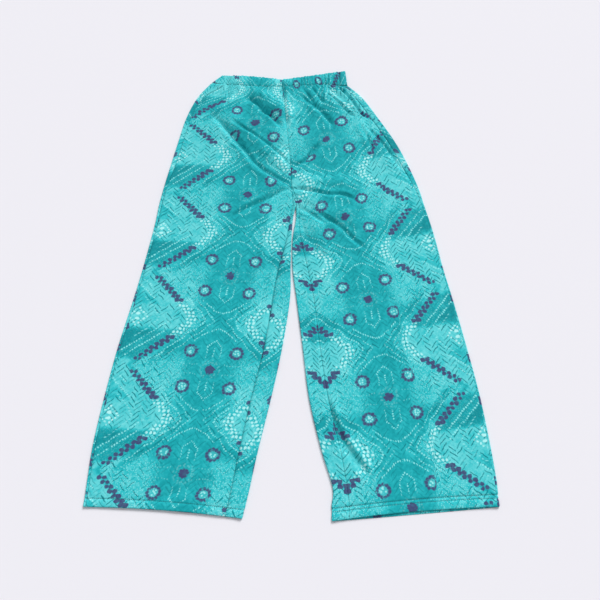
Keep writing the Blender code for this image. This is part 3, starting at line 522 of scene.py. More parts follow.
def row_distances(leg):
    """Distances up the cloth from the hem's edge, negative on the turned-up inside."""
    close = np.concatenate((HEM_INSIDE, (0.0,), HEM_OUTSIDE)) * MM
    folds_from = np.interp(CROTCH, leg.fine, leg.run) - FOLDS_FROM
    hem = np.arange(FIRST_ROW, HEM_ROWS_TO, HEM_ROW_STEP)
    below = np.linspace(HEM_ROWS_TO, folds_from, ROWS_BELOW, endpoint=False)
    above = np.linspace(folds_from, leg.run[-1] - LEG_TOP_GAP, ROWS_ABOVE)
    return np.concatenate((close, hem, below, above))


def cloth_grid(name, columns, rows, slit_column=None, slit_row=0, drop=None):
    """A grid's mesh, with the column, row and slit side of each of its points."""
    bm = bmesh.new()
    bmesh.ops.create_grid(bm, x_segments=columns, y_segments=rows, size=0.5)
    for vert in bm.verts:
        vert.co = (round((vert.co.x + 0.5) * columns), round((vert.co.y + 0.5) * rows), 0)
    if drop:
        dropped = [face for face in bm.faces if drop(face.calc_center_median())]
        bmesh.ops.delete(bm, geom=dropped, context="FACES")
    if slit_column is not None:
        slit = [edge for edge in bm.edges
                if all(vert.co.x == slit_column and vert.co.y >= slit_row for vert in edge.verts)]
        bmesh.ops.split_edges(bm, edges=slit)
        for vert in (vert for vert in bm.verts if vert.co.x == slit_column):
            if all(face.calc_center_median().x < slit_column for face in vert.link_faces):
                vert.co.z = -1
    mesh = bpy.data.meshes.new(name)
    bm.to_mesh(mesh)
    bm.free()
    index = np.empty(len(mesh.vertices) * 3)
    mesh.vertices.foreach_get("co", index)
    return mesh, np.rint(index.reshape(-1, 3).T).astype(int)


def add_map(mesh, name, u, v):
    """A UV map from one pair of values for each point."""
    corners = np.empty(len(mesh.loops), dtype=np.int32)
    mesh.loops.foreach_get("vertex_index", corners)
    pairs = np.stack((u[corners], v[corners]), axis=-1)
    mesh.uv_layers.new(name=name).data.foreach_set("uv", pairs.ravel())


def finish_cloth(mesh, x, y, z, flip, node):
    """Set the points, give the cloth its thickness, and put it in its solid's place."""
    mesh.vertices.foreach_set("co", np.stack((x, y + CENTRING_Y, z), axis=-1).ravel())
    if flip:
        mesh.flip_normals()
    mesh.polygons.foreach_set("use_smooth", np.ones(len(mesh.polygons), dtype=bool))
    mesh.update()
    piece = bpy.data.objects.new(mesh.name, mesh)
    scene_collection.objects.link(piece)
    wall = piece.modifiers.new("cloth_thickness", "SOLIDIFY")
    wall.thickness = CLOTH_THICKNESS
    wall.offset = -1
    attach(piece, "root")
    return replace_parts(piece, node)


print("cloth thickness", CLOTH_THICKNESS / MM, "mm")

# %% [markdown]
# A front panel reaches from the outer seam to the inner seam, and above the crotch to the centre seam.
# Beside a seam the cloth dips a little, because the seam allowance inside holds it down, but never as
# far as the layer beneath. The hem is turned up once, so the panel's first rows run up the inside and
# over the hem's edge. The dips are drawn into the same grid as the folds: separate pieces along a seam
# would leave gaps between them where the cloth bends.

# %% Front panels
FRONT_COLUMNS = 120
SEAM_DIP = 0.7 * MM
SEAM_DIP_REACH = 2.5 * MM
SEAM_SHARE = {-1.0: (2.0, 3.6), 1.0: (0.4, 0.6)}    # of that dip near the hem and near the crotch
SEAM_CHANGE = (MEETING / 2, 3)  # the station where that share starts to change, and over how many
WAIST_DIP = 1.8 * MM
WAIST_DIP_REACH = 3.0 * MM
HEM_SEAM_SHARE = 0.3            # the turned hem is stiffer, so its seams dip less
STIFF_STATIONS = 3              # up to this station
HEM_EDGE_RADIUS = 0.45 * MM
HEM_PUFF = 0.3 * MM
HEM_GROOVE = 1.0 * MM
HEM_TURN_SAG = 0.5 * MM         # the turned-up part inside hangs this much lower
PRESSED = 0.6                   # share of the hem's relief that the garment's weight presses flat underneath
HEM_GROOVE_WIDTH = (3.5 * MM, 1.0 * MM)      # gentle on the hem's side of the stitches, steep above them
HEM_SLOPE = 3 * MM
HEM_STITCH_ROWS = {-1.0: (14 * MM,), 1.0: (14 * MM, 20 * MM)}    # one row on the right leg, two on the left


def valley(distance, depth, reach):
    """A soft dip beside a seam."""
    return -depth * np.exp(-(distance / reach) ** 2)


def seam_valley(leg, v, distance):
    """The dip beside a leg's seams, deeper on the right leg, whose seams are drawn in more tightly."""
    low, high = SEAM_SHARE[leg.side]
    change_from, change_over = SEAM_CHANGE
    share = low + (high - low) * ease((v - change_from) / change_over)
    share = share + (1 - share) * ease(v - CROTCH)
    share = share * (HEM_SEAM_SHARE + (1 - HEM_SEAM_SHARE) * ease(v / STIFF_STATIONS))
    return valley(distance, SEAM_DIP, SEAM_DIP_REACH) * share


def hem_relief(leg, distance):
    """The hem's edge turns under, and its stitching pulls a groove."""
    relief = HEM_PUFF * ease(distance / HEM_SLOPE) * ease((HEM_TURN - distance) / HEM_SLOPE)
    for stitch_row in HEM_STITCH_ROWS[leg.side]:
        reach = np.where(distance < stitch_row, *HEM_GROOVE_WIDTH)
        relief = relief + valley(distance - stitch_row, HEM_GROOVE, reach)
    relief = relief - HEM_TURN_SAG * ease(-distance / HEM_SLOPE)
    turn = np.clip(distance / HEM_EDGE_RADIUS, -math.pi / 2, math.pi / 2)
    return relief + HEM_EDGE_RADIUS * (np.sin(turn) - 1)


def front_span(leg, v):
    """Level distances at which the front panel starts and ends."""
    inseam = np.where(v > MEETING, 0.0, leg.at("inseam", v) + SEAM_GAP / 2)
    return leg.at("outseam", v) + SEAM_GAP / 2, leg.width(v) - inseam


def front_panel(node, leg):
    distances = row_distances(leg)
    mesh, (column, row, _) = cloth_grid("cloth_" + node, FRONT_COLUMNS, len(distances) - 1)
    v = leg.station(np.abs(distances))
    start, end = front_span(leg, v)
    a = start[row] + (end - start)[row] * column / FRONT_COLUMNS
    x, y = leg.plan(v[row], a)
    from_seam = np.minimum(a - start[row], end[row] - a)
    z = np.maximum(leg.height(v[row], a) + seam_valley(leg, v[row], from_seam), LOWEST_SEAM)
    z = z + hem_relief(leg, distances[row])
    z = z + valley(leg.run[-1] - distances[row], WAIST_DIP, WAIST_DIP_REACH)
    add_map(mesh, "cloth", *print_map(leg, x, y))
    return finish_cloth(mesh, x, y, z, leg.side > 0, node)


front_right = front_panel("front_right_leg", right_leg)
front_left = front_panel("front_left_leg", left_leg)
print("front panels have", len(front_right.data.polygons), "and", len(front_left.data.polygons), "faces")

# %% [markdown]
# A back panel shows on top as a strip beside the inner seam, turns round the folded edge, lies
# underneath, and comes up round the outer edge to the outer seam. The two panels were cut from the
# same print and sewn face to face, so the back's print mirrors the front's at the inner seam.

# %% Round the back panel's section
STRIP, QUARTER, BENEATH, OUTER_STRIP = 8, 5, 30, 4
BACK_STEPS = np.cumsum((0, STRIP, QUARTER, QUARTER, BENEATH, QUARTER, QUARTER, OUTER_STRIP))
INNER_EDGE = int(BACK_STEPS[2])
TINY = 1e-6
UNDERNEATH = -0.5               # cloth whose outward direction points down by more than this


def back_section(leg, v, column, on_strip):
    """Level distance, height, outward direction and distance from the inner seam on the back panel."""
    outer, inner = leg.radii(v)
    width = leg.width(v)
    seam_in = leg.at("inseam", v) - SEAM_GAP / 2
    seam_out = leg.at("outseam", v) - SEAM_GAP / 2
    parted = v > CROTCH
    spans = zip(BACK_STEPS, BACK_STEPS[1:])
    share = [np.clip((column - first) / (last - first), 0, 1) for first, last in spans]
    part = np.searchsorted(BACK_STEPS, column, side="left") - 1
    part = np.clip(part, 0, len(share) - 1)
    quarter = [fraction * math.pi / 2 for fraction in share]
    strip_end = np.minimum(inner, seam_in)
    strip_a = width - seam_in + (seam_in - strip_end) * share[0]
    flat = np.zeros_like(width)
    # One choice for each part of the panel's way round the leg
    choices_a = (strip_a, width - inner + inner * np.sin(quarter[1]),
                 width - inner + inner * np.cos(quarter[2]),
                 width - inner + (outer - width + inner) * share[3],
                 outer - outer * np.sin(quarter[4]), outer - outer * np.cos(quarter[5]),
                 outer + (seam_out - outer) * share[6])
    out_a = (flat, np.sin(quarter[1]), np.cos(quarter[2]), flat,
             -np.sin(quarter[4]), -np.cos(quarter[5]), flat)
    out_z = (flat + 1, np.cos(quarter[1]), -np.sin(quarter[2]), flat - 1,
             -np.cos(quarter[4]), np.sin(quarter[5]), flat + 1)
    turns = (flat, flat, inner, 2 * inner, 2 * inner, 2 * inner + outer, 2 * inner + 2 * outer)
    a, na, nz = (np.choose(part, choices) for choices in (choices_a, out_a, out_z))
    top_share = np.clip(column / INNER_EDGE, 0, 1)
    a = np.where(parted & on_strip, width - seam_in * (1 - top_share), a)
    beneath_a = width - EDGE_PROBE + (outer - width + EDGE_PROBE) * share[3]
    a = np.where(parted & ~on_strip & (part <= 2), width - EDGE_PROBE * share[2], a)
    a = np.where(parted & ~on_strip & (part == 3), beneath_a, a)
    na = np.where(parted & (part <= 3), 0.0, na)
    nz = np.where(parted & (part <= 3), np.where(on_strip, 1.0, -1.0), nz)
    z = np.where(part >= 4, outer, inner) * (1 + nz)
    z = np.where(nz > 1 - TINY, leg.height(v, a), z)
    from_inseam = np.where(part < 2, a - width + seam_in, seam_in + width - a)
    from_inseam = from_inseam + np.choose(part, turns) * (math.pi / 2 - 1)
    from_inseam = np.where(part >= 5, seam_in + width + a, from_inseam)
    return a, z, na, nz, from_inseam, np.where(part == 6, seam_out - a, np.inf)


print("columns round a back panel", int(BACK_STEPS[-1]))

# %% Back panels


def back_panel(node, leg):
    distances = row_distances(leg)
    v = leg.station(np.abs(distances))
    inside = len(HEM_INSIDE)
    rows_to_fit = np.searchsorted(v[inside:], (CROTCH, MEETING)) + inside - 1
    crotch_row, meeting_row = (int(row) for row in rows_to_fit)
    v[crotch_row], v[meeting_row] = CROTCH, MEETING
    mesh, (column, row, side) = cloth_grid(
        "cloth_" + node, int(BACK_STEPS[-1]), len(distances) - 1, INNER_EDGE, crotch_row,
        lambda centre: centre.x < INNER_EDGE and centre.y > meeting_row)
    v, distance = v[row], distances[row]
    on_strip = (column < INNER_EDGE) | (side < 0)
    a, z, na, nz, from_inseam, from_outseam = back_section(leg, v, column, on_strip)
    on_top = nz > 0
    relief = hem_relief(leg, distance)
    relief = relief * (1 - PRESSED * np.maximum(-nz, 0))
    relief = np.where(nz < UNDERNEATH, np.minimum(relief, 0), relief)
    seam_dip = seam_valley(leg, v, np.minimum(from_inseam, from_outseam))
    relief = relief + np.maximum(seam_dip, np.minimum(LOWEST_SEAM - z, 0)) * on_top
    relief = relief + valley(leg.width(v) - a, SEAM_DIP, SEAM_DIP_REACH) * (v > CROTCH)
    relief = relief + valley(leg.run[-1] - distance, WAIST_DIP, WAIST_DIP_REACH)
    x, y = leg.plan(v, a + relief * na, on_top)
    mirrored = leg.width(v) - leg.at("inseam", v) - from_inseam
    u, along = print_map(leg, *leg.plan(v, mirrored))
    add_map(mesh, "cloth", u, along + (BACK_PRINT_SHIFT if leg.side < 0 else 0.0))
    return finish_cloth(mesh, x, y, z + relief * nz, leg.side > 0, node)


back_right = back_panel("back_right_leg", right_leg)
back_left = back_panel("back_left_leg", left_leg)
print("back panels have", len(back_right.data.polygons), "and", len(back_left.data.polygons), "faces")

# %% [markdown]
# The casing is the panels' top turned down over a 30 mm elastic and stitched. The elastic pulls it
# into fine puckers that run on into the panels. It is made as a folded strip: up the outside, over
# the top edge and down the inside, with the puckers as a wave along the waist. The centre seams run
# through it, so the strip is slit there and each half takes its leg's print.

# %% The casing's sizes and plan
CASING_TOP = ((-16.40, 48.25), (-2.65, 46.95), (11.80, 49.65))  # its ends and its middle, in cm
CASING_TOP_BOW = (0.30, -0.075)         # cm by which its two halves bow up
CASING_SEAM_TOP = (2.40 * CM, 1.50 * CM)
CASING_HEIGHT = 5.8 * MM
CASING_THICKNESS = 2.4 * MM
CASING_ROWS = 12
OVER_ROWS = 4
INSIDE_ROWS = 5
INSIDE_END = 0.06               # the inside layer ends this share of the height above the seam


def casing_plan(s, rise):
    """Where the casing lies: s runs 0 to 2 from the right end to the left, rise 0 to 1 from the seam up."""
    top_v = right_leg.knots[-1:]
    width_right, width_left = right_leg.width(top_v)[0], left_leg.width(top_v)[0]
    v = np.full_like(s, top_v[0])
    low_right = right_leg.plan(v, np.minimum(s, 1) * width_right)
    low_left = left_leg.plan(v, (2 - np.maximum(s, 1)) * width_left)
    t, on_right = np.where(s < 1, s, s - 1), s < 1
    first, middle, last = np.array(CASING_TOP) * CM
    bow_right, bow_left = np.array(CASING_TOP_BOW) * CM
    places = []
    for axis in (0, 1):
        low = np.where(on_right, low_right[axis], low_left[axis])
        high = np.where(on_right, first[axis] + (middle - first)[axis] * t,
                        middle[axis] + (last - middle)[axis] * t)
        high = high + axis * np.where(on_right, bow_right, bow_left) * 4 * np.maximum(t * (1 - t), 0)
        places.append(low + (high - low) * rise)
    return places[0], places[1]


def casing_seams(rise):
    """Where the two outer seams cross the casing."""
    top_v = right_leg.knots[-1:]
    first, middle, last = np.array(CASING_TOP) * CM
    right_low = right_leg.at("outseam", top_v)[0] / right_leg.width(top_v)[0]
    left_low = left_leg.at("outseam", top_v)[0] / left_leg.width(top_v)[0]
    right_high = CASING_SEAM_TOP[0] / (middle - first)[0]
    left_high = CASING_SEAM_TOP[1] / (last - middle)[0]
    return right_low + (right_high - right_low) * rise, 2 - left_low - (left_high - left_low) * rise


def casing_rows():
    """Rise, depth into the casing and share of the top edge's turn for each row."""
    turn = np.linspace(0, math.pi, OVER_ROWS + 1)[1:-1]
    up, down = np.linspace(0, 1, CASING_ROWS), np.linspace(1, INSIDE_END, INSIDE_ROWS)
    rise = np.concatenate((up, np.ones(len(turn)), down))
    turn = np.concatenate((np.zeros(CASING_ROWS), turn, np.full(INSIDE_ROWS, math.pi)))
    return rise, CASING_THICKNESS / 2 * (1 - np.cos(turn)), CASING_THICKNESS / 2 * np.sin(turn)


print("rows up, over and down the casing", len(casing_rows()[0]))

# %% Casing
CASING_COLUMNS_HALF = 160
SEAM_COLUMNS = 2                # from the outer seam to where the casing turns round its end
END_TURN = 8                    # columns of that turn
CASING_PUFF = 0.9 * MM
CALM_EDGES = 0.75               # share of the puckers' height at the casing's lower and upper edge
UNDER_PUCKER = 0.6              # share of it underneath, where the garment's weight presses
CASING_HALF = 14 * CM           # half the relaxed waist, laid flat
CASING_DEPTH = 3 * CM
CASING_CALM = 6 * MM            # the puckers fade this near the outer seams


def casing_piece(node, front):
    """One half of the casing. Its columns are counted from both ends to the slit at the centre seam."""
    to_beneath = SEAM_COLUMNS + END_TURN
    half = CASING_COLUMNS_HALF + (0 if front else to_beneath)
    rises, depths, overs = casing_rows()
    mesh, (column, row, side) = cloth_grid("cloth_" + node, 2 * half, len(rises) - 1, half)
    rise, depth, over = rises[row], depths[row], overs[row]
    first_seam, last_seam = casing_seams(rise)
    on_left = (column > half) | ((column == half) & (side == 0))
    from_end = np.where(column > half, 2 * half - column, column)
    radius = CASING_HEIGHT / 2
    if front:
        s = np.where(on_left, last_seam - (last_seam - 1) * from_end / half,
                     first_seam + (1 - first_seam) * from_end / half)
        turn = np.zeros_like(s)
    else:
        turn = np.clip((from_end - SEAM_COLUMNS) / END_TURN, 0, 1) * math.pi
        share = np.clip((from_end - to_beneath) / CASING_COLUMNS_HALF, 0, 1)
        seam_share = np.clip(from_end / SEAM_COLUMNS, 0, 1)
        start = radius / CASING_HALF
        edge = np.where(on_left, 2 - last_seam, first_seam)
        strip = edge * (1 - seam_share) + start * seam_share
        s = np.where(from_end < SEAM_COLUMNS, strip, start * (1 - np.sin(turn)))
        s = np.where(from_end > to_beneath, start + (1 - start) * share, s)
        s = np.where(on_left, 2 - s, s)
    wave = gather_wave(s) * PUCKER_HEIGHT * (CALM_EDGES + (1 - CALM_EDGES) * np.sin(math.pi * rise))
    x, y = casing_plan(s, rise)
    to_seam = np.minimum(np.abs(s - first_seam), np.abs(last_seam - s)) * CASING_HALF
    to_centre = np.abs(s - 1) * CASING_HALF
    bulge = CASING_PUFF * np.sin(math.pi * rise) + wave * ease(to_seam / CASING_CALM)
    bulge = bulge + valley(to_centre, SEAM_DIP, SEAM_DIP_REACH)
    bulge = bulge + valley(rise * CASING_DEPTH, WAIST_DIP, WAIST_DIP_REACH)
    if front:
        z = CASING_HEIGHT + bulge + valley(to_seam, SEAM_DIP, SEAM_DIP_REACH) - depth
    else:
        inward = np.where(on_left, -1.0, 1.0)
        x = x + inward * depth * np.sin(turn)
        groove = (PUCKER_HEIGHT - wave) * UNDER_PUCKER
        z = radius * (1 + np.cos(turn)) - depth * np.cos(turn)
        z = np.where(from_end < SEAM_COLUMNS, z + valley(to_seam, SEAM_DIP, SEAM_DIP_REACH), z)
        z = np.where(from_end > to_beneath, groove + depth, z)
    x = x + np.where(column == half, np.where(on_left, SEAM_GAP, -SEAM_GAP) / 2, 0)
    y = y + over
    u_right, v_right = print_map(right_leg, x, y)
    u_left, v_left = print_map(left_leg, x, y)
    add_map(mesh, "cloth", np.where(on_left, u_left, u_right), np.where(on_left, v_left, v_right))
    return finish_cloth(mesh, x, y, z, not front, node)


casing_front = casing_piece("waistband_front", True)
casing_back = casing_piece("waistband_back", False)
print("casing has", len(casing_front.data.polygons) + len(casing_back.data.polygons), "faces")

# %% [markdown]
# One stitch is a small rounded bar of thread that dips into the cloth at both ends. Rows of them run
# round both hems and under the casing. The photo shows one row on the right leg's hem and two on the
# left. Modelled stitches catch the light and cast the tiny shadows that make a row read as sewn, which
# a drawn dashed line wouldn't. One mesh holds a whole row, because hundreds of objects would be slow.

# %% Stitches
STITCH_PITCH = 3.4 * MM
STITCH_SIZE = (1.55 * MM, 0.4 * MM, 0.25 * MM)
STITCH_SIDES = 6
STITCH_RINGS = 4
STITCH_SINK = 0.04 * MM
CASING_STITCH = 2.5 * MM        # below the casing's seam
HEM_STITCH_EDGE = 0.5 * CM      # the rows start and end this far from a folded edge


def hem_row(leg, distance, top):
    """Points along a stitch row round the hem, on top or underneath."""
    count = int(leg.width(leg.station(np.array((distance,))))[0] / STITCH_PITCH)
    v = np.full(count, leg.station(distance))
    a = np.linspace(HEM_STITCH_EDGE, leg.width(v)[0] - HEM_STITCH_EDGE, count)
    relief = hem_relief(leg, np.full(count, distance))
    beneath = STITCH_SINK - (1 - PRESSED) * np.minimum(relief, 0)
    z = leg.height(v, a) + relief - STITCH_SINK if top else beneath
    x, y = leg.plan(v, a, top)
    return np.stack((x, y + CENTRING_Y, z), axis=-1)


def waist_row(leg):
    """Points along the casing's stitch row on top of one leg."""
    distance = leg.run[-1] - CASING_STITCH
    v0 = leg.station(np.array((distance,)))
    start, end = front_span(leg, v0)
    count = int((end - start)[0] / STITCH_PITCH)
    v, a = np.full(count, v0[0]), np.linspace(start[0], end[0], count)
    z = leg.height(v, a) + valley(CASING_STITCH, WAIST_DIP, WAIST_DIP_REACH) - STITCH_SINK
    x, y = leg.plan(v, a)
    return np.stack((x, y + CENTRING_Y, z), axis=-1)


def sew(name, rows):
    """One piece with a stitch between each two neighbouring points of its rows."""
    bm = bmesh.new()
    for points in rows:
        for start, end in zip(points[:-1], points[1:]):
            run = Vector(end - start)
            turn = run.to_track_quat("X", "Z").to_matrix().to_4x4()
            middle = Matrix.Translation(Vector((start + end) / 2))
            place = middle @ turn @ Matrix.Diagonal((*STITCH_SIZE, 1))
            bmesh.ops.create_uvsphere(bm, u_segments=STITCH_SIDES, v_segments=STITCH_RINGS, radius=1,
                                      matrix=place)
    mesh = bpy.data.meshes.new(name)
    bm.to_mesh(mesh)
    bm.free()
    mesh.polygons.foreach_set("use_smooth", np.ones(len(mesh.polygons), dtype=bool))
    piece = bpy.data.objects.new(name, mesh)
    scene_collection.objects.link(piece)
    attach(piece, "root")
    return piece


def hem_rows(leg):
    return [hem_row(leg, distance, top) for distance in HEM_STITCH_ROWS[leg.side] for top in (True, False)]


stitches_right = sew("hem_stitches_right", hem_rows(right_leg))
stitches_left = sew("hem_stitches_left", hem_rows(left_leg))
stitches_waist = sew("casing_stitches", [waist_row(right_leg), waist_row(left_leg)])
threads = (stitches_right, stitches_left, stitches_waist)
print("stitches have", sum(len(piece.data.polygons) for piece in threads), "faces")

# %% [markdown]
# A finish is a chain of shader nodes. One function adds a node with its settings and links, and a
# small class lets formulas over the cloth be written as plain arithmetic.

# %% Tools for finishes


def colour(text):
    """A colour written as sRGB hex, turned into Blender's linear values."""
    parts = [int(text[i:i + 2], 16) / 255 for i in (1, 3, 5)]
    return tuple(p / 12.92 if p <= 0.04045 else ((p + 0.055) / 1.055) ** 2.4 for p in parts) + (1.0,)


def add(tree, kind, *inputs, **settings):
    """Add one node with its settings, set or link its inputs in order, and give back its first output.
    A kind in capitals is an operation of the Math node."""
    node = tree.nodes.new("ShaderNodeMath" if kind.isupper() else kind)
    if kind.isupper():
        node.operation = kind
    for name, value in settings.items():
        setattr(node, name, value)
    for socket, value in zip(node.inputs, inputs):
        if isinstance(value, Field):
            tree.links.new(value.socket, socket)
        elif value is not None:
            socket.default_value = value
    return Field(tree, node.outputs[0])


class Field:
    """A value that varies over the cloth. Arithmetic on it adds nodes."""

    def __init__(self, tree, socket):
        self.tree, self.socket = tree, socket

    def other(self, index):
        """Another output of the same node."""
        return Field(self.tree, self.socket.node.outputs[index])

    def do(self, kind, *inputs, **settings):
        return add(self.tree, kind, self, *inputs, **settings)

    def __add__(self, value):
        return self.do("ADD", value)

    def __sub__(self, value):
        return self.do("SUBTRACT", value)

    def __mul__(self, value):
        return self.do("MULTIPLY", value)

    def __neg__(self):
        return self.do("MULTIPLY", -1.0)

    def near(self, scale):
        """Distance from the nearest whole multiple of twice the scale."""
        return self.do("PINGPONG", scale)

    def above(self, limit, soft, low=0.0, high=1.0):
        """1 where the value is above the limit, 0 below it, with a soft step."""
        return self.do("ShaderNodeMapRange", limit - soft, limit + soft, low, high,
                       interpolation_type="SMOOTHSTEP")

    def below(self, limit, soft):
        return self.above(limit, soft, 1.0, 0.0)

    def leaves(self, share):
        """1 where the value is 0, and less by this share where it is 1."""
        return self * -share + 1.0


print("mid teal in linear light", [round(c, 3) for c in colour("#2BBCC4")[:3]])

# %% [markdown]
# The cloth is a plain-woven viscose crepe of about 195 g per square metre, printed by rotary screens in
# five colours after traditional tie-dyed bandhani cloth. The print mirrors left and right at every
# column of flowers, and up and down at every row, so one quarter of its repeat is enough. The chart
# gives a, the distance from the nearest flower column, and b, from the nearest flower row, in
# centimetres of cloth, and every motif is a formula of the two. A painted picture would have one fixed
# sharpness, while formulas stay sharp from near, and repeat and mirror as the screens do.

# %% The chart of the print
HALF_COLUMN = 17.3              # cm from the flower column to the line where the print mirrors
HALF_ROW = 9.9                  # cm from a flower row to a blossom row
CM_PER_METRE = 100.0
ZIGZAG = (4.45, 1.07)           # cm from the flower column, and slope
ZIGZAG_TURN = 1.0               # square of how round its turns are, in cm
LEAN = 1.16                     # the lines beside its arms run a little flatter than 45 degrees
DIAGONAL = math.sqrt(0.5)
ACROSS_LEAN = 1 / math.hypot(1, LEAN)
WOBBLE = 0.5                    # cm by which the printed cloth was stretched here and there
WOBBLES_PER_CM = 0.8
RAGGED_PER_CM = 1.7
ONE_WAY_SOFT = 0.4


def zigzag_line(rise):
    """How far the zigzag's line lies from the flower column at this rise above its turn."""
    return (rise * rise + ZIGZAG_TURN).do("SQRT") * ZIGZAG[1] + ZIGZAG[0]


class Chart:
    """Distances in the print, in cm, and two values that make it uneven."""

    def __init__(self, tree):
        cloth = add(tree, "ShaderNodeUVMap", uv_map="cloth")
        self.cm = cloth.do("ShaderNodeVectorMath", (CM_PER_METRE, CM_PER_METRE, 0.0), operation="MULTIPLY")
        wobble = self.cm.do("ShaderNodeTexNoise", None, WOBBLES_PER_CM, 2.0, noise_dimensions="2D").other(1)
        moved = wobble.do("ShaderNodeVectorMath", (WOBBLE, WOBBLE, 0.0), self.cm, operation="MULTIPLY_ADD")
        self.x = moved.do("ShaderNodeSeparateXYZ") - WOBBLE / 2
        self.y = moved.do("ShaderNodeSeparateXYZ").other(1) - WOBBLE / 2
        self.ragged = self.cm.do("ShaderNodeTexNoise", None, RAGGED_PER_CM, 1.0, noise_dimensions="2D")
        self.a, self.b = self.x.near(HALF_COLUMN), self.y.near(HALF_ROW)
        self.one_way = self.y.do("WRAP", HALF_ROW, -HALF_ROW).above(0.0, ONE_WAY_SOFT)
        self.rise = -self.b + HALF_ROW
        self.diagonal, self.leaning = self.a + self.b, self.a + self.b * LEAN
        self.inside = self.a - zigzag_line(self.rise)


def length(first, second):
    """The distance of a point that lies this far off in two directions."""
    return (first * first + second * second).do("SQRT")


def line_dots(along, across, spacing, radius, soft=0.05):
    """One row of dots along a line where across is 0."""
    return length(along.near(spacing / 2), across).below(radius, soft)


def strongest(masks):
    """At each point the strongest of several masks."""
    result = masks[0]
    for mask in masks[1:]:
        result = result.do("MAXIMUM", mask)
    return result


print("one repeat of the print is", 2 * HALF_COLUMN, "by", 2 * HALF_ROW, "cm")

# %% [markdown]
# The ground goes from dark to light teal in broad soft zones: light inside the zigzag's turns and
# beside it, dark above its arms and round the flowers. A dye bath never takes quite evenly, so two
# clouded noises join the zones, and a colour ramp turns the sum into teals. Noise alone would give
# clouds anywhere, but the real zones belong to the motifs.

# %% Ground
# Each zone is where all of its limits hold: a distance of the chart, the side of the limit on which
# the zone lies, the limit and the softness of its edge, both in cm
ZONES = {
    "far_band": (("leaning", "above", 20.7, 0.6), ("rise", "above", 3.0, 0.8)),
    "turn": (("inside", "above", 0.3, 0.6),),
    "dark_arm": (("inside", "above", 0.4, 0.4), ("b", "below", 7.5, 0.5), ("b", "above", 1.5, 0.6)),
    "dark_strip": (("diagonal", "above", 10.7, 0.3), ("diagonal", "below", 12.6, 0.3),
                   ("b", "below", 4.6, 1.6)),
    "beside": (("a", "above", 4.6, 1.6), ("inside", "below", -0.6, 0.6)),
    "halo": (("inside", "below", 0.0, 0.6), ("inside", "above", -2.4, 0.8), ("rise", "below", 4.5, 1.0)),
    "diamond": (("diagonal", "below", 9.6, 1.2),),
}
BESIDE_HEIGHT = (6.4, 1.5)      # limit and softness in cm of the zone beside the zigzag
BESIDE_SHORTER = 4.0            # by this much on one side of each flower row
FAR_BAND_DARK = 0.6
BASE_SHADE, DIAMOND_SHADE = -0.06, -0.08
SHADES = {"turn": 0.4, "beside": 0.32, "halo": 0.2, "dark_arm": -0.55, "dark_strip": -0.25}
# Each row: clouds per cm, detail, roughness and share in the shade
CLOUDS = ((0.35, 3.0, 0.6, 0.6), (1.4, 2.0, 0.6, 0.4))
GROUND_COLOURS = ((0.0, "#0A9099"), (0.35, "#18A9B1"), (0.65, "#32C3CA"), (1.0, "#6ADADE"))


def ground_zones(chart):
    """Every zone as a mask, 1 inside it."""
    zones = {}
    for name, limits in ZONES.items():
        mask = None
        for distance, side, limit, soft in limits:
            edge = getattr(getattr(chart, distance), side)(limit, soft)
            mask = mask * edge if mask else edge
        zones[name] = mask
    zones["turn"] = zones["turn"] * zones["far_band"].leaves(FAR_BAND_DARK)
    zones["beside"] = zones["beside"] * (chart.b + chart.one_way * BESIDE_SHORTER).below(*BESIDE_HEIGHT)
    for name in ("dark_arm", "dark_strip"):
        zones[name] = zones[name] * chart.one_way
    return zones


def ground(chart, zones):
    """The teal ground."""
    shade = zones["diamond"] * DIAMOND_SHADE + BASE_SHADE
    for name, change in SHADES.items():
        shade = shade + zones[name] * change
    for per_cm, detail, roughness, share in CLOUDS:
        cloud = chart.cm.do("ShaderNodeTexNoise", None, per_cm, detail, roughness, noise_dimensions="2D")
        shade = shade + cloud * share
    teal = shade.do("ShaderNodeValToRGB")
    ramp = teal.socket.node.color_ramp
    while len(ramp.elements) < len(GROUND_COLOURS):
        ramp.elements.new(1.0)
    for element, (place, text) in zip(ramp.elements, GROUND_COLOURS):
        element.position = place
        element.color = colour(text)
    return teal


print("ground zones", len(ZONES))

# %% [markdown]
# Over the ground lie fine dark strokes in a herringbone, broken at random as worn screens print them,
# and a pale speckle in the light zones. A random number for each cell of the herringbone leaves strokes
# out. The real strokes and specks are a little finer: they are drawn as coarse as they need to show.

# %% Hatching and speckle
HATCH_WIDTH = 1.3               # cm
HATCH_PITCH = 1.0               # cm
STROKE = (0.13, 0.07)           # half a stroke's width and the softness of its edge, in cm
STROKE_LENGTH = (0.56, 0.05)    # half its length and the softness of its ends
STROKES_LEFT_OUT = (0.35, 0.4)  # share and softness
STROKES_FAINTER = (("dark_arm", 0.5), ("diamond", 0.4))  # in these zones, by these shares
GRAINS_PER_CM = 3.2
GRAIN = (0.26, 0.1)             # radius and softness, as shares of the grains' spacing
GRAINS_LEFT_OUT = 0.45
GRAINS_IN_TURN = 0.3            # share of them that shows inside the zigzag's turns


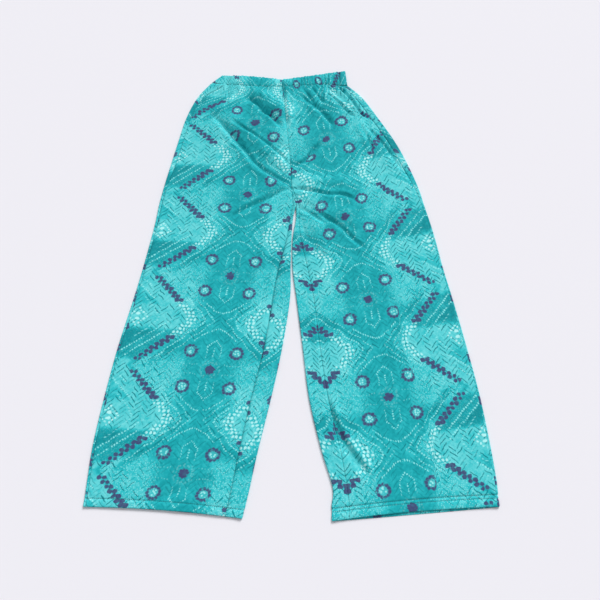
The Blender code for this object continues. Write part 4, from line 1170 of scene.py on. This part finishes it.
def hatching(chart, zones):
    """Slanting strokes in columns that lean to the left and to the right in turn."""
    column = (chart.x * (1 / HATCH_WIDTH)).do("FLOOR")
    hatch = chart.y + chart.x.near(HATCH_WIDTH) + column.near(1.0) * (HATCH_PITCH / 2)
    cell = column.do("ShaderNodeCombineXYZ", (hatch * (1 / HATCH_PITCH)).do("FLOOR"), 0.0)
    chance = cell.do("ShaderNodeTexWhiteNoise", noise_dimensions="2D")
    stroke = (hatch - HATCH_PITCH / 2).near(HATCH_PITCH / 2).below(*STROKE)
    stroke = stroke * (chart.x - HATCH_WIDTH / 2).near(HATCH_WIDTH / 2).below(*STROKE_LENGTH)
    stroke = stroke * chance.above(*STROKES_LEFT_OUT)
    for name, share in STROKES_FAINTER:
        stroke = stroke * zones[name].leaves(share)
    return stroke


def speckle(chart, zones):
    """Pale specks in the light zones."""
    grain = chart.cm.do("ShaderNodeTexVoronoi", None, GRAINS_PER_CM, voronoi_dimensions="2D")
    speck = grain.below(*GRAIN) * grain.other(1).do("GREATER_THAN", GRAINS_LEFT_OUT)
    return speck * (zones["beside"] + zones["halo"] + zones["turn"] * GRAINS_IN_TURN)


print("strokes of", 2 * STROKE_LENGTH[0], "cm in columns of", HATCH_WIDTH, "cm")

# %% [markdown]
# Bandhani is tied by hand into thousands of tiny knots, and each knot stays undyed as a dot. The print
# copies that with rows of white dots: two wavy ones round each flower's diamond, two beside each
# arm of the zigzag, and short ones that draw an arch with a stem, a round line and an arc by the flower.
# Dots are the distance to the nearest point of a row, so a line costs a few nodes and not a picture.

# %% Dotted lines
DOT_PITCH = 0.5                 # cm
SOFT = 0.07                     # cm
ALONG_RAGGED = 0.3              # cm by which the dots of a diamond wander along their line
MISSING_DOTS = (0.4, 0.12)      # no dots where the cloth's unevenness lies below this, and softness
# Each row: diagonal distance and dots' radius, from and to which a with the softness of both ends, how
# far it runs on at one side of each flower row, and strength
DIAMOND_LINES = ((12.5, 0.15, 2.8, 0.2, 7.0, 0.3, 3.5, 1.0), (10.9, 0.14, 1.1, 0.1, 5.4, 0.3, 3.0, 0.8))
DIAMOND_BEND = (0.2, 1.1)       # cm to each side, and how fast it swings, in radians a cm
# Each row: leaning distance, from and to which b, and how far it runs on at one side
ARM_LINES = ((18.5, 1.8, 3.4, 4.0), (20.4, 2.2, 6.2, 3.2))
ARM_DOT = 0.16
ARM_END = 0.2
# The short lines: their places, their dots' pitch, radius and softness, and by how much a distance is
# stretched where it isn't measured square to the line
ROUND_LINE, ROUND_DOTS = (10.2, 4.0, 4.2), (0.48, 0.14)     # diagonal distance, square of its roundness, end
ROUND_STRETCH = (1.2, 0.8)
ARCH, ARCH_DOTS = (1.3, 5.95, 2.3), (0.46, 0.13)    # half width, diagonal distance of shoulders, foot b
ARCH_STRETCH = 0.85
ARCH_FADE = (2.5, 2.5)          # b and softness
STEM, STEM_DOTS = (2.4, 4.4), (0.46, 0.14)          # from and to which b
ARC, ARC_DOTS = (0.9, 4.0, 0.06), (0.5, 0.12)       # b and a of its lowest point, and its bend
ARC_ENDS, ARC_STRENGTH = (2.2, 6.0), 0.4
TURN_LINE, TURN_DOTS = (6.3, 4.3), (0.5, 0.14, SOFT)        # distance inside the zigzag, and height
TURN_STRETCH, TURN_STRENGTH = 0.7, 0.7
TURN_END = 0.2
SHORT_END = 0.1


def diamond_lines(chart):
    swing, rate = DIAMOND_BEND
    bent = chart.diagonal + ((chart.a - chart.b) * rate).do("SINE") * swing
    along = (chart.a - chart.b) * DIAGONAL + chart.ragged * ALONG_RAGGED
    lines = []
    for place, radius, start, start_soft, end, end_soft, runs_on, strength in DIAMOND_LINES:
        shown = chart.a.above(start, start_soft) * (chart.a - chart.one_way * runs_on).below(end, end_soft)
        lines.append(line_dots(along, (bent - place) * DIAGONAL, DOT_PITCH, radius, SOFT) * shown * strength)
    return lines


def arm_lines(chart):
    along = (chart.a * LEAN - chart.b) * ACROSS_LEAN
    lines = []
    for place, start, end, runs_on in ARM_LINES:
        shown = chart.b.above(start, ARM_END) * (chart.b - chart.one_way * runs_on).below(end, ARM_END)
        across = (chart.leaning - place) * ACROSS_LEAN
        lines.append(line_dots(along, across, DOT_PITCH, ARM_DOT, SOFT) * shown)
    return lines


def short_lines(chart):
    """The round line, the arch with its stem, the arc, and the line inside the zigzag's turn."""
    a, b, rise = chart.a, chart.b, chart.rise
    place, roundness, end = ROUND_LINE
    across = ((a * a + roundness).do("SQRT") + b - place) * ROUND_STRETCH[1]
    round_line = line_dots(a * ROUND_STRETCH[0], across, *ROUND_DOTS) * a.below(end, SHORT_END)
    half_width, shoulders, foot = ARCH
    across = (a - half_width).do("MAXIMUM", (a + b - shoulders) * DIAGONAL)
    arch = line_dots((a - b) * ARCH_STRETCH, across, *ARCH_DOTS)
    arch = arch * b.above(foot, SHORT_END) * b.above(*ARCH_FADE)
    start, end = STEM
    stem = line_dots(b, a, *STEM_DOTS) * b.above(start, SHORT_END) * b.below(end, SHORT_END)
    low_b, low_a, bend = ARC
    start, end = ARC_ENDS
    arc = line_dots(a, b - low_b - (a - low_a) * (a - low_a) * bend, *ARC_DOTS)
    arc = arc * a.above(start, SHORT_END) * a.below(end, SHORT_END) * ARC_STRENGTH
    from_zigzag, end = TURN_LINE
    in_turn = line_dots(rise, (chart.inside - from_zigzag) * TURN_STRETCH, *TURN_DOTS)
    return [round_line, arch, stem, arc, in_turn * rise.below(end, TURN_END) * TURN_STRENGTH]


def dotted_lines(chart):
    """All dotted lines, with dots missing here and there."""
    lines = diamond_lines(chart) + arm_lines(chart) + short_lines(chart)
    return strongest(lines) * chart.ragged.above(*MISSING_DOTS)


print("long dotted lines", len(DIAMOND_LINES) + len(ARM_LINES))

# %% [markdown]
# The zigzag is the boldest motif. At its turns it is a honeycomb of white dots, and along its arms
# pairs of large purple ones. Both are rows of dots that cross the zigzag's line: the height above the
# turn is cut into rows, and each row counts its dots from the line.

# %% Zigzag
WHITE_ROW, PURPLE_ROW = 0.7, 0.78       # cm from one row of dots to the next
WHITE_STEP = 0.37               # half the distance between the white dots of a row, in cm
WHITE_DOT = (0.25, 0.08)        # radius and softness in cm
WHITE_BAND = (0.95, 0.15)       # half width and softness
WHITE_HEIGHT = (3.4, 0.2)
PURPLE_DOT = (0.58, 0.08)
PURPLE_OFFSET = 0.43            # cm from the line to each dot of a pair
PURPLE_SHRINKS = 0.02           # cm from one row to the next
FIRST_PURPLE, LAST_PURPLE, ROW_SOFT = 4.5, 11.5, 0.1    # in rows
WHITE_RAGGED, PURPLE_RAGGED = 0.24, 0.22    # cm by which the dots' edges wander


def zigzag_rows(chart, pitch):
    """Row number counted from the turn, and distances from the row and from the zigzag's line on it."""
    row = (chart.rise * (1 / pitch) + 0.5).do("FLOOR")
    at_row = row * pitch
    return row, chart.rise - at_row, chart.a - zigzag_line(at_row)


def roughened(chart, distance, change):
    """A distance that the cloth's unevenness makes larger here and smaller there."""
    return distance + chart.ragged * change - change / 2


def honeycomb(chart):
    """White dots at the zigzag's turns, each row set off by half a step."""
    row, off, across = zigzag_rows(chart, WHITE_ROW)
    dot = (across + row.near(1.0) * WHITE_STEP).near(WHITE_STEP)
    dots = roughened(chart, length(dot, off), WHITE_RAGGED).below(*WHITE_DOT)
    return dots * across.do("ABSOLUTE").below(*WHITE_BAND) * chart.rise.below(*WHITE_HEIGHT)


def purple_pairs(chart):
    """Pairs of large dots along the zigzag's arms."""
    row, off, across = zigzag_rows(chart, PURPLE_ROW)
    from_dot = roughened(chart, length(across.do("ABSOLUTE") - PURPLE_OFFSET, off), PURPLE_RAGGED)
    dots = (from_dot + row * PURPLE_SHRINKS).below(*PURPLE_DOT)
    return dots * row.above(FIRST_PURPLE, ROW_SOFT) * row.below(LAST_PURPLE, ROW_SOFT)


print("purple pairs on each arm", int(LAST_PURPLE - FIRST_PURPLE))

# %% [markdown]
# Between two zigzags lie pale blossoms: each is two large spots in a ring of small ones, with a purple
# bar above and below. Each flower is one purple spot with four rings round it, and a ring is eleven
# purple beads on a thin band, filled with pale sprinkles. The beads are placed by the angle round the
# ring's centre, so one row of dots bends into a ring, and eleven of them close it evenly.

# %% Blossoms, rings and flowers
BLOSSOM = 15.8                  # cm from the flower column to the blossoms
BLOSSOM_SPOT = (0.55, 0.45, 0.3, 0.09)  # rise, flatness, radius and softness
BLOSSOM_RING = 1.75             # diagonal distance
BLOSSOM_DOTS = (0.62, 0.2, 0.08)        # pitch, radius and softness
BLOSSOM_EDGE = (3.0, 0.1)
BLOSSOM_MISSING_DOTS = (0.4, 0.15)
BAR = (7.6, 0.35)               # place along the column, and flatness
BAR_EDGE = (0.55, 0.1)          # radius and softness
BAR_RAGGED = 0.3                # cm
RING = (4.25, 3.55, 1.05)       # a, b and the radius on which the beads lie
BEADS = 11
BEAD = (0.31, 0.1)              # radius and softness
BAND_INSIDE = 0.05              # the band lies this much inside the beads' centres
BAND = (0.2, 0.1)               # half width and softness
BAND_STRENGTH = 0.85
WORN = (0.72, 0.15)             # rings fade where the cloth's unevenness lies above this
FILLING = (1.0, 0.15)           # radius and softness of a ring's pale filling
SPRINKLES_PER_CM = 2.1
SPRINKLE = (0.34, 0.12)         # radius and softness, as shares of the sprinkles' spacing
SPRINKLED_RING = (0.62, 0.1)    # inside this radius
FLOWER_SPRINKLES = ((1.2, 0.2), (1.9, 0.3), 0.25)   # between these radii, and share
LOBES = (8.0, 0.07)             # of the flower: number, and height in cm
FLOWER = (1.14, 0.12)           # radius and softness, with its ragged edge
FLOWER_RAGGED = 0.6             # cm


def blossoms(chart):
    """Two spots in a ring of dots."""
    across = chart.a - BLOSSOM
    place, flatness, radius, soft = BLOSSOM_SPOT
    spot = across * across * flatness + (chart.rise - place) * (chart.rise - place)
    ring = across.do("ABSOLUTE") + chart.rise
    along = (across.do("ABSOLUTE") - chart.rise) * DIAGONAL
    dots = line_dots(along, (ring - BLOSSOM_RING) * DIAGONAL, *BLOSSOM_DOTS)
    dots = dots * ring.below(*BLOSSOM_EDGE) * chart.ragged.above(*BLOSSOM_MISSING_DOTS)
    return strongest([spot.do("SQRT").below(radius, soft), dots])


def bars(chart):
    """The purple bars above and below each blossom, on the line where the print mirrors."""
    place, flatness = BAR
    from_mirror = -chart.a + HALF_COLUMN
    bar = from_mirror * from_mirror + (chart.b - place) * (chart.b - place) * flatness
    return (bar.do("SQRT") + chart.ragged * BAR_RAGGED).below(*BAR_EDGE)


def rings_and_flowers(chart):
    """Masks of the rings' filling, of the pale sprinkles, and of the purple."""
    ring_a, ring_b = chart.a - RING[0], chart.b - RING[1]
    from_ring, middle = length(ring_a, ring_b), length(chart.a, chart.b)
    inner, outer, share = FLOWER_SPRINKLES
    round_flower = middle.below(*outer) * middle.above(*inner) * share
    grain = chart.cm.do("ShaderNodeTexVoronoi", None, SPRINKLES_PER_CM, voronoi_dimensions="2D")
    sprinkles = strongest([from_ring.below(*SPRINKLED_RING), round_flower]) * grain.below(*SPRINKLE)
    round_ring = ring_b.do("ARCTAN2", ring_a) * RING[2]
    beads = line_dots(round_ring, from_ring - RING[2], math.tau * RING[2] / BEADS, *BEAD)
    band = (from_ring - (RING[2] - BAND_INSIDE)).do("ABSOLUTE").below(*BAND) * BAND_STRENGTH
    lobes = (chart.b.do("ARCTAN2", chart.a) * LOBES[0]).do("COSINE") * LOBES[1]
    flower = (middle - lobes + chart.ragged * FLOWER_RAGGED).below(*FLOWER)
    purple = strongest([strongest([beads, band]) * chart.ragged.below(*WORN), flower])
    return from_ring.below(*FILLING), sprinkles, purple


print("beads on a ring", BEADS)

# %% [markdown]
# The screens print one colour after the other, and so does the material: each mask lays its colour over
# what is there. Crepe yarn scatters light, so the surface is matt, with a faint sheen at a low angle
# and a fine grain as bump. The yarns are 0.2 mm thick, too fine to show, so the grain is drawn coarser.

# %% The printed crepe
GRAIN_PER_CM = 9.0
GRAIN_HEIGHT = 0.4 * MM
GRAIN_STRENGTH = 0.25
UNEVEN_INK = 0.25               # share by which the purple is paler here and there
# Each ink's colour and how far it covers what is below it, in the order of printing
INKS = {
    "strokes": ("#08828B", 0.95), "specks": ("#A0F4F5", 0.55), "dotted lines": ("#95F0F1", 0.85),
    "honeycomb": ("#B6F8F8", 0.85), "blossoms": ("#BDFBFA", 0.85), "ring filling": ("#5FD9DC", 0.35),
    "sprinkles": ("#B0FBFA", 0.7), "purple": ("#453A6E", 1.0),
}
CREPE_FINISH = {"Roughness": 0.85, "Specular IOR Level": 0.12, "Sheen Weight": 0.02, "Sheen Roughness": 0.5}


def print_masks(chart, zones):
    """Where each ink lies."""
    filling, sprinkles, ring_purple = rings_and_flowers(chart)
    purple = strongest([purple_pairs(chart), bars(chart), ring_purple])
    return {
        "strokes": hatching(chart, zones), "specks": speckle(chart, zones),
        "dotted lines": dotted_lines(chart), "honeycomb": honeycomb(chart), "blossoms": blossoms(chart),
        "ring filling": filling, "sprinkles": sprinkles, "purple": purple * chart.ragged.leaves(UNEVEN_INK),
    }


def printed_cloth(name):
    """The crepe with its print."""
    material = bpy.data.materials.new(name)
    material.use_nodes = True
    tree = material.node_tree
    shader = tree.nodes["Principled BSDF"]
    chart = Chart(tree)
    zones = ground_zones(chart)
    masks = print_masks(chart, zones)
    result = ground(chart, zones)
    for ink, (text, cover) in INKS.items():
        result = add(tree, "ShaderNodeMixRGB", masks[ink] * cover, result, colour(text))
    tree.links.new(result.socket, shader.inputs["Base Color"])
    for socket, value in CREPE_FINISH.items():
        shader.inputs[socket].default_value = value
    grain = chart.cm.do("ShaderNodeTexNoise", None, GRAIN_PER_CM, 2.0, noise_dimensions="2D")
    bump = add(tree, "ShaderNodeBump", GRAIN_STRENGTH, GRAIN_HEIGHT, None, grain)
    tree.links.new(bump.socket, shader.inputs["Normal"])
    return material


crepe_print = printed_cloth("printed_viscose_crepe")
for piece in (front_right, front_left, back_right, back_left, casing_front, casing_back):
    piece.data.materials.append(crepe_print)
print("print nodes", len(crepe_print.node_tree.nodes))

# %% [markdown]
# Sewing thread is polyester dyed to the cloth's darkest teal. It is a little smoother than the crepe,
# so its stitches show as fine dark dashes with small lights on them.

# %% Thread
thread = bpy.data.materials.new("dyed_polyester_thread")
thread.use_nodes = True
thread_shader = thread.node_tree.nodes["Principled BSDF"]
thread_shader.inputs["Base Color"].default_value = colour("#073B43")
thread_shader.inputs["Roughness"].default_value = 0.5
for piece in threads:
    piece.data.materials.append(thread)
print("thread on", len(threads), "pieces")

# %% [markdown]
# Each panel is listed with the size and area of its flat cut, and with its stitches.

# %% Flat sizes of the cut cloth
SHEETS = (
    (front_right, (0.276, 0.985), 0.2500, (stitches_right,)),
    (front_left, (0.283, 0.985), 0.2450, (stitches_left,)),
    (back_right, (0.353, 0.985), 0.2900, ()),
    (back_left, (0.355, 0.985), 0.2850, ()),
    (casing_front, (0.28, 0.065), 0.0175, (stitches_waist,)),
    (casing_back, (0.34, 0.065), 0.0205, ()),
)
for piece, flat, area, parts in SHEETS:
    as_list(parts)
print("sheets", len(SHEETS))

# %% [markdown]
# The photo was taken on a pale smooth ground in soft light, so the floor is plain and the light comes
# from bright walls and one large lamp beyond the waist, low enough for the folds to show.
# The lamp is a sun light with a wide angle: it stands for a large softbox far away, and it lights the
# whole floor evenly, as in the photo. A nearer area light would leave one corner of the floor darker.

# %% Floor
FLOOR_SIZE = 3.0
FLOOR_DROP = 0.3 * MM
bm = bmesh.new()
bmesh.ops.create_grid(bm, x_segments=1, y_segments=1, size=FLOOR_SIZE)
bmesh.ops.translate(bm, verts=bm.verts, vec=(0, 0, -FLOOR_DROP))
floor_mesh = bpy.data.meshes.new("floor")
bm.to_mesh(floor_mesh)
bm.free()
floor = bpy.data.objects.new("floor", floor_mesh)
scene_collection.objects.link(floor)
board = bpy.data.materials.new("matt_white_board")
board.use_nodes = True
board_shader = board.node_tree.nodes["Principled BSDF"]
board_shader.inputs["Base Color"].default_value = colour("#EDECF2")
board_shader.inputs["Roughness"].default_value = 0.9
floor_mesh.materials.append(board)
print("floor lies", FLOOR_DROP / MM, "mm below the cloth")

# %% Light
WALLS_STRENGTH = 0.52
LAMP_STRENGTH = 2.8
LAMP_ANGLE = math.radians(26)   # a large lamp gives soft shadows
LAMP_PLACE = (1.15, 2.6, 2.1)   # the way to the lamp
world = bpy.data.worlds.new("soft_room")
world.use_nodes = True
world.node_tree.nodes["Background"].inputs["Color"].default_value = colour("#F8F7F9")
world.node_tree.nodes["Background"].inputs["Strength"].default_value = WALLS_STRENGTH
bpy.context.scene.world = world
lamp_data = bpy.data.lights.new("large_soft_lamp", "SUN")
lamp_data.energy = LAMP_STRENGTH
lamp_data.angle = LAMP_ANGLE
lamp = bpy.data.objects.new("large_soft_lamp", lamp_data)
lamp.location = LAMP_PLACE
lamp.rotation_euler = (-lamp.location).to_track_quat("-Z", "Y").to_euler()
scene_collection.objects.link(lamp)
bpy.context.scene.view_settings.view_transform = "Standard"
print("lamp strength", LAMP_STRENGTH)
